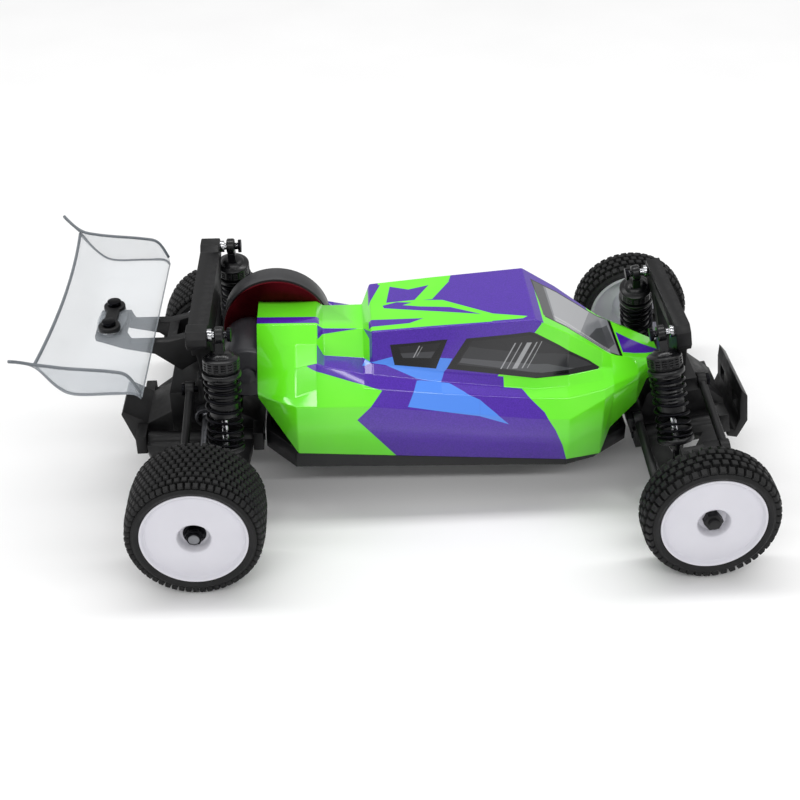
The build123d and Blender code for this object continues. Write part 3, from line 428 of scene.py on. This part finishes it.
# %% Shell skin
SHEET = 0.7
FOLD = 1.2                 # width of the rounded folds
SECTIONS = (
    (XR + 16.0, (20.0, 35.8), (20.6, 36.8), (20.0, 38.0), (15.5, 41.6), (10.6, 47.0), (6.6, 51.2)),
    (XR + 26.6, (25.0, 19.9), (25.0, 35.2), (22.6, 37.2), (17.6, 43.3), (10.8, 47.2), (6.6, 51.0)),
    (XR + 32.6, (25.0, 19.51), (25.0, 35.0), (22.4, 39.4), (18.6, 45.4), (11.2, 47.2), (6.6, 50.9)),
    (XR + 34.4, (25.0, 19.39), (25.0, 34.9), (22.4, 39.5), (18.8, 44.6), (10.6, 43.0), (6.6, 49.6)),
    (XR + 45.6, (25.0, 18.65), (25.0, 34.8), (22.0, 39.1), (19.2, 41.8), (13.4, 43.6), (7.0, 49.4)),
    (XR + 48.0, (25.0, 18.5), (25.0, 34.7), (22.0, 38.9), (19.4, 41.5), (17.4, 44.2), (14.0, 52.2)),
    (XR + 66.8, (25.0, 17.26), (25.0, 32.4), (22.4, 36.8), (19.6, 38.7), (18.0, 41.0), (14.6, 53.7)),
    (XF - 43.0, (25.0, 15.54), (25.0, 29.0), (22.4, 34.4), (19.6, 35.4), (18.0, 38.0), (15.4, 55.5)),
    (XF - 33.2, (25.0, 14.9), (25.0, 28.3), (21.6, 33.5), (18.8, 35.5), (17.0, 38.2), (14.0, 49.9)),
    (XF - 23.0, (21.4, 14.0), (21.4, 32.6), (19.8, 34.9), (17.6, 36.6), (14.6, 38.7), (12.0, 42.9)),
    (XF - 20.2, (18.6, 21.0), (19.6, 33.7), (18.6, 35.6), (16.6, 36.9), (14.0, 38.5), (11.4, 41.1)),
    (XF - 12.2, (14.3, 26.7), (14.3, 35.0), (13.8, 35.8), (12.8, 36.6), (10.8, 37.5), (8.5, 38.1)),
    (XF - 8.7, (9.6, 31.5), (9.6, 35.0), (9.4, 35.6), (8.8, 36.2), (8.2, 36.7), (7.6, 37.1)),
    (XF - 4.4, (6.0, 32.6), (6.0, 34.0), (5.8, 34.7), (5.6, 35.3), (5.3, 35.9), (5.0, 36.3)),
)
STRIP_FINISH = (0, 0, 0, 1, 2, 3, 2, 1, 0, 0, 0)


def gear_slot(form):
    """Cuts away the left rear deck where the gear cover stands up through it."""
    low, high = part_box("gear_cover")
    inner, outer, front = 6.2, high.y / MM + 1.0, high.x / MM + 1.0
    for spot, way in (((0, inner, 0), (0, 1, 0)), ((0, outer, 0), (0, 1, 0)), ((front, 0, 0), (1, 0, 0))):
        near = [f for f in form.faces if f.calc_center_median().y > 0 and f.calc_center_median().x < front + 12]
        parts = near + list({e for f in near for e in f.edges}) + list({v for f in near for v in f.verts})
        bmesh.ops.bisect_plane(form, geom=parts, plane_co=spot, plane_no=way, dist=1e-4)
    gone = [f for f in form.faces if f.calc_center_median().x < front
            and inner < f.calc_center_median().y < outer]
    bmesh.ops.delete(form, geom=gone, context="FACES")


def shell_skin():
    form = bmesh.new()
    rows = []
    for x, *half in SECTIONS:
        outline = [(-y, z) for y, z in half] + [(y, z) for y, z in reversed(half)]
        rows.append([form.verts.new((x, y, z)) for y, z in outline])
    for i, k, face in rows_to_faces(form, rows):
        face.material_index = STRIP_FINISH[k]
    gear_slot(form)
    skin = make_piece("painted_shell", form, [flank, belt_paint, cabin_side, roof_top, backing])
    harden(skin, FOLD, angle=9.0, segments=4)
    sheet = skin.modifiers.new("sheet", "SOLIDIFY")
    sheet.thickness = SHEET * MM
    sheet.offset = -1.0
    sheet.use_even_offset = True
    sheet.material_offset = 4
    sheet.material_offset_rim = 0
    return skin


shell = shell_skin()
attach(shell, "body_shell")
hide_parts("body_shell")
print("shell faces:", len(shell.data.polygons))

# %% [markdown]
# Tyres. The carcass is turned from one section: a flat crown, rounded shoulders and a
# plain sidewall that bulges past the bead. The tread is rows of small square pins, moulded
# with the tyre; staggering every other row gives the woven look. Each pin is a short
# tapered block that starts inside the carcass, so nothing floats.

# %% Tyres
PIN_HEIGHT = 1.25
RIM_EDGE = 14.2


def crown(share, radius):
    """Tread radius at share -1..1 of the half width: flat, then falling to the shoulder."""
    return radius - 1.9 * abs(share) ** 5


def tread_pin(form, spot, out, along, size, height):
    """Tapered square pin with its top at spot; out is its axis, along its first side."""
    side = out.cross(along)
    loops = []
    for depth, half in ((height + 0.5, size * 0.62), (0.18, size * 0.5), (0.0, size * 0.4)):
        base = spot - out * depth
        loops.append([form.verts.new(base + along * (half * a) + side * (half * b))
                      for a, b in ((-1, -1), (1, -1), (1, 1), (-1, 1))])
    rows_to_faces(form, loops, close_v=True)
    form.faces.new(loops[0][::-1])
    form.faces.new(loops[-1])


def build_tyre(name, body, node, lanes, pitch, pin):
    low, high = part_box(node)
    width = (high.y - low.y) / MM
    centre = middle(node)
    form = bmesh.new()
    inner, base = RIM_EDGE - 0.4, R - PIN_HEIGHT
    half = width / 2
    section = [(-half + 1.2, inner), (-half + 0.25, inner + 1.3), (-half + 0.05, R - 3.0),
               (-half + 0.6, R - 2.2)]
    for i in range(9):
        share = -0.88 + 1.76 * i / 8
        section.append((share * half, crown(share, base)))
    section += [(half - 0.6, R - 2.2), (half - 0.05, R - 3.0), (half - 0.25, inner + 1.3), (half - 1.2, inner)]
    turned(form, section, 96, "Y")
    around = round(2 * math.pi * R / pitch)
    for lane in range(lanes):
        share = -1 + (2 * lane + 1) / lanes
        outer = lane in (0, lanes - 1)
        y = share * half if not outer else math.copysign(half - pin * 0.62, share)
        top = crown(y / half, R - 0.03) if not outer else R - 0.75
        for i in range(around):
            a = 2 * math.pi * (i + (lane % 2) / 2) / around
            out = Vector((math.sin(a), 0, math.cos(a)))
            lean = math.copysign(0.55, share) if outer else 0.6 * share ** 3
            normal = (out + Vector((0, lean, 0))).normalized()
            turn = Vector((math.cos(a), 0, -math.sin(a)))
            tread_pin(form, out * top + Vector((0, y, 0)), normal, turn, pin, PIN_HEIGHT)
    tyre = make_piece(name, form, [tyre_rubber], Matrix.Translation(centre), smooth=False)
    for face in tyre.data.polygons:
        face.use_smooth = len(face.vertices) == 4 and face.area > (pin * MM) ** 2 * 1.2
    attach(tyre, body)
    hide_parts(node)
    return tyre


SIDES = ("left", "right")
for side in SIDES:
    rear_tyre = build_tyre(f"pin_tyre_rear_{side}", f"wheel_rear_{side}", f"tyre_rear_{side}", 10, 2.05, 1.35)
    front_tyre = build_tyre(f"pin_tyre_front_{side}", f"wheel_front_{side}", f"tyre_front_{side}", 5, 2.5, 1.65)
print("tyre faces, rear and front:", len(rear_tyre.data.polygons), len(front_tyre.data.polygons))

# %% [markdown]
# Wheels are moulded dishes: a smooth face, slightly domed, that rolls into a recess where
# the nut sits, and a barrel behind it that carries the tyre. One turned section gives both
# the face and the hollow behind, so the inside is real when seen from under the car.

# %% Wheels
def build_wheel(name, body, node, tyre_node, bore, deep):
    low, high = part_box(tyre_node)
    y0, y1 = sorted((low.y / MM, high.y / MM), key=abs)
    way = 1 if y1 > 0 else -1
    centre = middle(tyre_node)
    width = abs(y1 - y0)
    b = RIM_EDGE - 0.4
    seat = width - 3.6
    back = 6.0 if deep else 1.0
    face = [(seat, bore), (seat, 3.7), (seat + 0.5, 4.0), (width - 1.8, 4.15),
            (width - 1.15, 4.5), (width - 0.9, 5.2),
            (width - 0.95, 7.5), (width - 1.2, 10.0), (width - 1.55, 12.0), (width - 1.75, b - 0.9),
            (width - 1.5, b - 0.55), (width - 0.9, b - 0.35), (width - 0.6, b - 0.05), (width - 0.6, b + 0.35),
            (width - 0.9, b + 0.42), (width - 1.3, b), (1.3, b), (1.2, b - 1.0)]
    hollow = [(width - 2.9, b - 1.1), (width - 3.0, 9.0), (seat - 1.3, 5.4), (back + 0.3, 4.2), (back, 3.9),
              (back, bore)]
    form = bmesh.new()
    turned(form, [(way * p[0], p[1]) for p in face + hollow], 96, "Y")
    wheel = make_piece(name, form, [dish_white], Matrix.Translation((centre.x, y0, centre.z)))
    harden(wheel, 0.15, angle=40.0)
    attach(wheel, body)
    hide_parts(node)
    return way, y0, y1, seat, centre


def nut_and_axle(name, body, way, y0, y1, seat, centre, cup):
    """Flanged lock nut with its nylon ring, and the axle end; cup adds the drive cup."""
    place = Matrix.Translation((centre.x, y0, centre.z))
    form = bmesh.new()
    corner = 2.25 / math.cos(math.radians(30))
    turned(form, [(way * (seat + 0.05), 1.55), (way * (seat + 0.05), 3.1), (way * (seat + 0.5), 3.0),
                  (way * (seat + 0.6), 1.55)], 48, "Y")
    loops = []
    for along, size in ((seat + 0.5, corner), (seat + 2.0, corner), (seat + 2.3, corner * 0.9)):
        loops.append([form.verts.new((size * math.cos(a), way * along, size * math.sin(a)))
                      for a in (math.pi / 3 * i for i in range(6))])
    rows_to_faces(form, loops, close_v=True)
    form.faces.new(loops[0])
    form.faces.new(loops[-1][::-1])
    turned(form, [(way * (seat + 2.1), 1.5), (way * (seat + 2.1), 2.0), (way * (seat + 2.75), 1.9),
                  (way * (seat + 2.9), 1.5)], 32, "Y")
    nut = make_piece(f"wheel_nut_{name}", form, [blackened], place)
    harden(nut, 0.18, angle=25.0)
    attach(nut, body)
    if not cup:
        return
    form = bmesh.new()
    solid_turned(form, [(way * -2.2, 0), (way * -2.2, 1.5), (way * (seat + 2.9), 1.5),
                        (way * (seat + 3.0), 1.3),
                        (way * (seat + 3.0), 0)], 32, "Y")
    turned(form, [(way * -6.0, 2.2), (way * -6.0, 3.0), (way * -5.8, 3.1), (way * -1.6, 3.1), (way * -1.4, 2.9),
                  (way * -1.4, 1.2), (way * -2.0, 1.2), (way * -2.0, 2.2)], 40, "Y")
    axle = make_piece(f"drive_axle_{name}", form, [shaft_steel], place)
    harden(axle, 0.1, angle=40.0)
    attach(axle, body)


for side in SIDES:
    for end, bore in (("rear", 1.5), ("front", 1.55)):
        node = f"wheel_{end}_{side}"
        fit = build_wheel(f"dish_wheel_{end}_{side}", node, node, f"tyre_{end}_{side}", bore, end == "rear")
        if end == "rear":
            nut_and_axle(f"{end}_{side}", node, *fit, cup=True)
print("wheels turned:", 2 * len(SIDES))

# %% [markdown]
# Shock absorbers. Each hangs from its tower stud: a cap with a tall eye and knurled
# ring, a threaded barrel with the spring's collar, then a bright shaft, the lower spring
# cup and the ball-end eye. They are turned in their own axis, with the stud at the top,
# and set in place by the lean between stud and lower pin. The spring is a swept coil.

# %% Shock layouts
KICK = math.radians(10.0)
REAR_SHOCK = dict(top=(26.0, 41.1), low=(34.5, 0.5), x=7.5, perch=31.0, barrel=23.0)
FRONT_SHOCK = dict(top=(17.8, 34.0), low=(30.0, -1.4), x=-2.5, perch=29.8, barrel=23.6)
REAR_PLACE = Matrix.Translation((XR, 0, R))
FRONT_PLACE = Matrix.Translation((XF, 0, R)) @ Matrix.Rotation(-KICK, 4, "Y")


def shock_place(shock, place, way):
    """Matrix from the shock's own axes, hanging down -Z from its stud, to the car's."""
    dy, dz = shock["low"][0] - shock["top"][0], shock["low"][1] - shock["top"][1]
    lean = Matrix.Rotation(math.atan2(dy, -dz), 4, "X")
    hang = place @ Matrix.Translation((shock["x"], *shock["top"])) @ lean
    return (Matrix.Scale(-1, 4, (0, 1, 0)) @ hang if way < 0 else hang), math.hypot(dy, dz)


def eye_ring(form, z, radius, bore, half):
    """Rounded ring across the shock's axis."""
    soft = 0.35
    turned(form, [(-half, bore), (-half, radius - soft), (-half + soft, radius), (half - soft, radius),
                  (half, radius - soft), (half, bore)], 40, "X", (0, 0, z))


def neck(form, z0, w0, z1, w1, half):
    """Flat tapered web between an eye and the turned part."""
    loops = []
    for z, w in ((z0, w0), (z1, w1)):
        loops.append([form.verts.new((x, y, z)) for x, y in ((-half, -w), (half, -w), (half, w), (-half, w))])
    rows_to_faces(form, loops, close_v=True)
    form.faces.new(loops[0][::-1])
    form.faces.new(loops[1])


def shock_profile(barrel):
    """Cap, knurl, thread and barrel, as (z, radius) down the axis."""
    line = [(-4.7, 0), (-4.7, 2.0), (-5.0, 2.9), (-5.8, 3.5), (-6.1, 4.5), (-6.4, 4.85)]
    for i in range(4):
        z = -6.7 - 0.7 * i
        line += [(z, 4.9), (z - 0.25, 4.9), (z - 0.35, 4.55), (z - 0.55, 4.55)]
    line += [(-9.5, 4.7), (-9.7, 3.9), (-10.1, 3.9), (-10.2, 5.0), (-10.5, 5.2), (-11.3, 5.2), (-11.6, 5.0),
             (-11.7, 3.75)]
    z = -12.1
    while z > -barrel + 4.4:
        line += [(z, 3.72), (z - 0.3, 3.9), (z - 0.5, 3.9), (z - 0.8, 3.72)]
        z -= 1.0
    line += [(-barrel + 3.4, 3.85), (-barrel + 3.0, 3.95), (-barrel + 0.5, 3.95), (-barrel, 3.5), (-barrel, 0)]
    return line


def shock_cap(form):
    """Spanner notches round the cap."""
    for i in range(16):
        a = 2 * math.pi * i / 16
        out = Vector((math.cos(a), math.sin(a), 0))
        side = Vector((-out.y, out.x, 0))
        loops = []
        for z in (-9.3, -6.5):
            loops.append([form.verts.new(out * r + side * w + Vector((0, 0, z)))
                          for r, w in ((4.4, -0.45), (4.9, -0.3), (4.9, 0.3), (4.4, 0.45))])
        rows_to_faces(form, loops, close_v=True)
        form.faces.new(loops[0][::-1])
        form.faces.new(loops[1])


def build_shock(end, side, shock, place):
    place, length = shock_place(shock, place, 1 if side == "left" else -1)
    body, stroke = f"shock_body_{end}_{side}", f"shock_rod_{end}_{side}"
    form = bmesh.new()
    solid_turned(form, shock_profile(shock["barrel"]), 56)
    shock_cap(form)
    eye_ring(form, 0, 2.3, 1.05, 1.2)
    neck(form, -5.0, 2.1, -1.9, 1.5, 1.15)
    upper = make_piece(f"shock_barrel_{end}_{side}", form, [shock_nylon], place)
    harden(upper, 0.12, angle=35.0)
    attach(upper, body)
    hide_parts(body)
    form = bmesh.new()
    perch = -shock["perch"]
    solid_turned(form, [(-shock["barrel"] + 1.0, 0), (-shock["barrel"] + 1.0, 0.9), (perch - 1.0, 0.9),
                        (perch - 1.0, 0)], 24)
    shaft = make_piece(f"shock_shaft_{end}_{side}", form, [polished], place)
    harden(shaft, 0.08, angle=40.0)
    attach(shaft, stroke)
    form = bmesh.new()
    solid_turned(form, [(perch, 0), (perch, 2.0), (perch - 0.1, 3.9), (perch, 4.2), (perch, 5.0),
                        (perch - 0.3, 5.2),
                        (perch - 1.3, 5.2), (perch - 1.6, 4.9), (perch - 1.9, 2.4), (-length + 4.4, 1.9),
                        (-length + 3.6, 1.6), (-length + 3.6, 0)], 48)
    eye_ring(form, -length, 2.5, 1.35, 1.2)
    neck(form, -length + 1.9, 1.3, -length + 4.2, 1.5, 1.15)
    lower = make_piece(f"shock_foot_{end}_{side}", form, [shock_nylon], place)
    harden(lower, 0.12, angle=35.0)
    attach(lower, stroke)
    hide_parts(stroke)
    build_spring(end, side, shock, place)


def build_spring(end, side, shock, place):
    """Coil with closed end turns, between the collar and the lower cup."""
    wire, coil = 0.42, 4.6
    top, bottom = -11.65 - wire, -shock["perch"] + wire + 0.02
    turns, steps, around = 8.0, 28, 8
    form = bmesh.new()
    rows = []
    total = int(turns * steps)
    for i in range(total + 1):
        share = i / total
        eased = share - 0.045 * math.sin(2 * math.pi * share)
        a = 2 * math.pi * turns * share
        z = bottom + (top - bottom) * eased
        out = Vector((math.cos(a), math.sin(a), 0))
        rows.append([form.verts.new(out * (coil + wire * math.cos(b)) + Vector((0, 0, z + wire * math.sin(b))))
                     for b in (2 * math.pi * k / around for k in range(around))])
    rows_to_faces(form, rows, close_v=True)
    form.faces.new(rows[0][::-1])
    form.faces.new(rows[-1])
    spring = make_piece(f"coil_spring_{end}_{side}", form, [blackened], place)
    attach(spring, f"shock_body_{end}_{side}")
    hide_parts(f"spring_{end}_{side}")
    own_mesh(spring)


for side in SIDES:
    build_shock("rear", side, REAR_SHOCK, REAR_PLACE)
    build_shock("front", side, FRONT_SHOCK, FRONT_PLACE)
print("shocks and springs made:", 2 * len(SIDES))

# %% [markdown]
# The wing is a drawn sheet: a flat middle screwed to its mount, a nose rolled down, a
# trailing lip kicked up that bows a little forward in the middle, and side dams that lean
# out at the tips. The sheet is a grid of chord curves, thickened, with the cut edge given
# its own frosted finish, whose grey is painted shade, and a rounded bead along the lip and the dams' tops.

# %% Wing
WING_SHEET = 0.8
WING_SEAT = R + 31.0


def smooth_line(points, steps):
    """Catmull-Rom curve through points, with steps per span."""
    ends = [Vector(p) for p in (points[0], *points, points[-1])]
    line = []
    for i in range(1, len(ends) - 2):
        p0, p1, p2, p3 = ends[i - 1:i + 3]
        for s in range(steps):
            t = s / steps
            line.append(0.5 * ((2 * p1) + (p2 - p0) * t + (2 * p0 - 5 * p1 + 4 * p2 - p3) * t * t
                               + (3 * p1 - p0 - 3 * p2 + p3) * t ** 3))
    return line + [ends[-1]]


def sheet_piece(name, rows, place=None):
    form = bmesh.new()
    rows_to_faces(form, [[form.verts.new(p) for p in row] for row in rows])
    piece = make_piece(name, form, [clear_sheet, clear_edge_painted_shade], place)
    thick = piece.modifiers.new("sheet", "SOLIDIFY")
    thick.thickness = WING_SHEET * MM
    thick.offset = 0.0
    thick.material_offset_rim = 1
    harden(piece, 0.15, angle=60.0)
    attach(piece, "chassis")
    return piece


WING_HALF = 37.8
STATIONS = 41              # chord curves across the span
TIP_FLARE = 4.0            # how far the dams lean out at their tips
LIP = XR - 38.6            # trailing lip, at the dams
TIP = XR - 43.6


def wing_rows():
    """Chord curves across the span; the lip bows forward in the middle."""
    rows = []
    z = WING_SEAT + WING_SHEET / 2
    for i in range(STATIONS):
        share = -1 + 2 * i / (STATIONS - 1)
        y = share * WING_HALF
        bow = 1.8 * (1 - share ** 2)
        chord = [(XR - 12.7, y, z - 1.8), (XR - 14.4, y, z - 0.3), (XR - 20.0, y, z),
                 (XR - 29.5 + bow / 2, y, z + 0.2),
                 (XR - 34.0 + bow, y, z + 3.0), (LIP + bow, y, z + 9.2)]
        rows.append(smooth_line(chord, 6))
    return rows


BEAD = 0.45                # radius of the rounded edge


def edge_bead(name, path):
    """The sheet's rounded cut edge along a path, made solid grey as painted shade for the dark line a clear
    edge shows.
    """
    form = bmesh.new()
    rows = []
    for i, spot in enumerate(path):
        ahead = (path[min(i + 1, len(path) - 1)] - path[max(i - 1, 0)]).normalized()
        side = ahead.cross(Vector((0, 0, 1))).normalized()
        lift = side.cross(ahead)
        rows.append([form.verts.new(spot + (side * math.cos(a) + lift * math.sin(a)) * BEAD)
                     for a in (math.pi / 4 * k for k in range(8))])
    rows_to_faces(form, rows, close_v=True)
    form.faces.new(rows[0][::-1])
    form.faces.new(rows[-1])
    bead = make_piece(name, form, [clear_edge_painted_shade])
    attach(bead, "chassis")


wing_lines = wing_rows()
wing = sheet_piece("clear_wing", wing_lines)
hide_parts("rear_wing")
edge_bead("wing_lip_edge", [line[-1] for line in wing_lines])


def dam_lines(way):
    """Upper and lower outlines of a side dam, which leans out at the tail."""
    z = WING_SEAT + 0.3
    upper = [(XR - 12.9, z + 0.5), (XR - 15.6, z + 5.6), (XR - 20.0, z + 7.0), (XR - 29.5, z + 8.1),
             (XR - 34.0, z + 8.8), (LIP, z + 10.0), (TIP, z + 13.2)]
    lower = [(XR - 12.7, z - 1.6), (XR - 14.6, z - 0.1), (XR - 20.0, z), (XR - 29.5, z + 0.2),
             (XR - 34.0, z + 2.9), (LIP, z + 9.2), (TIP, z + 12.8)]
    lines = []
    for points in (upper, lower):
        line = smooth_line([(x, 0, h) for x, h in points], 6)
        for p in line:
            lean = max(0.0, (LIP + 3.0 - p.x) / (LIP + 3.0 - TIP))
            p.y = way * (WING_HALF + WING_SHEET / 2 + TIP_FLARE * lean ** 2)
        lines.append(line)
    return lines


for side, way in (("left", 1), ("right", -1)):
    upper, lower = dam_lines(way)
    sheet_piece(f"wing_dam_{side}", [[b.lerp(a, step / 4) for step in range(5)] for a, b in zip(upper, lower)])
    edge_bead(f"wing_dam_edge_{side}", upper)


def wing_boss():
    """Raised oval pad formed into the sheet under the button."""
    form = bmesh.new()
    rings = []
    for rise, grow in ((0.0, 1.0), (0.5, 0.95), (0.75, 0.86), (0.8, 0.7)):
        rings.append([form.verts.new((4.2 * grow * math.cos(a), 9.6 * grow * math.sin(a), rise))
                      for a in (2 * math.pi * i / 48 for i in range(48))])
    rows_to_faces(form, rings, close_v=True)
    form.faces.new(rings[0][::-1])
    form.faces.new(rings[-1])
    place = Matrix.Translation((XR - 24.9, 0, WING_SEAT + WING_SHEET))
    pad = make_piece("wing_boss", form, [clear_sheet], place)
    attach(pad, "chassis")


wing_boss()
print("wing sheet stations:", STATIONS)

# %% [markdown]
# The moulded and machined CAD parts are right in shape and only need their finish and a
# softened edge. Their faces come from the CAD as separate triangles, so shared corners are
# welded first; the bevel then runs only along edges that really turn.

# %% Finishes for the CAD parts
FINISHES = {
    "arm_": (nylon, 0.3), "camber_link_": (nylon, 0.25), "hub_rear_": (nylon, 0.25),
    "caster_block_": (nylon, 0.25),
    "knuckle_": (nylon, 0.2), "tie_rod_": (nylon, 0.2), "drive_shaft_": (shaft_steel, 0.1),
    "rear_diff": (shaft_steel, 0.2), "spur_gear": (gear_acetal, 0.0), "motor_pinion": (polished, 0.0),
    "gear_cover": (cover_grey, 0.5), "motor_plate": (red_plate_painted_shade, 0.2), "motor": (can_steel, 0.2),
    "rear_gearbox": (nylon, 0.35), "rear_shock_tower": (nylon, 0.45), "wing_mount": (nylon, 0.35),
    "wing_button": (nylon, 0.5), "front_bulkhead": (nylon, 0.35), "front_shock_tower": (nylon, 0.45),
    "front_bumper": (nylon, 0.35), "steering_rack": (nylon, 0.2), "servo_horn": (nylon, 0.15),
    "servo": (case_plastic, 0.3), "battery": (wrap_film, 0.2), "receiver_esc": (board_green, 0.2),
    "chassis_tray": (tub_nylon, 0.35), "screws": (polished, 0.15),
}


def soften(part, width):
    """Welds the CAD triangles together and rounds the real edges by width mm."""
    weld = part.modifiers.new("weld", "WELD")
    weld.merge_threshold = 0.0005 * MM
    harden(part, width, angle=33.0)


for name, part in nodes.items():
    match = max((k for k in FINISHES if name.startswith(k)), key=len, default=None)
    finish, width = FINISHES[match] if match else (nylon, 0.0)
    part.data.materials.clear()
    part.data.materials.append(finish)
    for face in part.data.polygons:
        face.use_smooth = True
    if name == "screws":
        part.data.materials.append(blackened)
        for face in part.data.polygons:
            spot = face.center / MM
            rear_ball = XR < spot.x < XR + 7.5 and spot.z > R + 30
            front_ball = XF - 8.6 < spot.x and spot.z > R + 25
            face.material_index = 0 if rear_ball or front_ball else 1
    if part.hide_render:
        continue
    soften(part, width or 0.05)
print("CAD parts finished:", sum(not p.hide_render for p in nodes.values()))

# %% [markdown]
# The stage is a plain white floor under a long soft light above and a thin one in front,
# both lying along the car, as in a product studio: they leave long pale streaks on the
# shell's folds and a soft shadow under the car.

# %% Floor and light
def floor():
    form = bmesh.new()
    half = 1500.0
    square = ((-half, -half), (half, -half), (half, half), (-half, half))
    corners = [form.verts.new((x, y, 0)) for x, y in square]
    form.faces.new(corners)
    white = surface("studio_floor_white", "F4F4F4", "F8F8F8", 60.0, 2.0, 0.01, (0.6, 0.7))
    ground = make_piece("floor", form, [white])


def soft_light(name, spot, aim, size, power):
    lamp = bpy.data.lights.new(name, "AREA")
    lamp.shape = "RECTANGLE"
    lamp.size, lamp.size_y = size
    lamp.energy = power
    holder = bpy.data.objects.new(name, lamp)
    holder.location = spot
    holder.rotation_mode = "QUATERNION"
    holder.rotation_quaternion = (Vector(aim) - Vector(spot)).to_track_quat("-Z", "Y")
    bpy.context.scene.collection.objects.link(holder)


floor()
soft_light("overhead", (0.0, 0.25, 1.3), (0, 0, 0.02), (3.0, 0.22), 15.0)
soft_light("front_strip", (0.0, -0.75, 0.75), (0, 0, 0.02), (2.4, 0.07), 5.5)
world = bpy.data.worlds.new("studio")
world.use_nodes = True
world.node_tree.nodes["Background"].inputs["Color"].default_value = (1.0, 1.0, 1.0, 1.0)
world.node_tree.nodes["Background"].inputs["Strength"].default_value = 0.5
bpy.context.scene.world = world
bpy.context.scene.view_settings.view_transform = "Standard"

# %% [markdown]
# The camera stands to the car's right, a little above, with a fairly long lens, so the far
# wheels are only slightly smaller than the near ones.

# %% Camera
AZIMUTH, ELEVATION, ROLL = math.radians(-2.92), math.radians(33.32), math.radians(-0.12)
lens = bpy.data.cameras.new("camera")
lens.lens, lens.sensor_width = 59.27, 36.0
lens.shift_x, lens.shift_y = -0.00875, 0.00225
lens.clip_start, lens.clip_end = 0.01, 20.0
camera = bpy.data.objects.new("camera", lens)
bpy.context.scene.collection.objects.link(camera)
forward = Vector((-math.sin(AZIMUTH) * math.cos(ELEVATION), math.cos(AZIMUTH) * math.cos(ELEVATION),
                  -math.sin(ELEVATION)))
right = forward.cross(Vector((0, 0, 1))).normalized()
up = right.cross(forward)
right, up = (right * math.cos(ROLL) + up * math.sin(ROLL), up * math.cos(ROLL) - right * math.sin(ROLL))
standpoint = Vector((XR + 41.65, -327.8, 235.4))      # mm
turn = Matrix((right, up, -forward)).transposed().to_4x4()
camera.matrix_world = Matrix.Translation(standpoint * MM) @ turn
bpy.context.scene.camera = camera
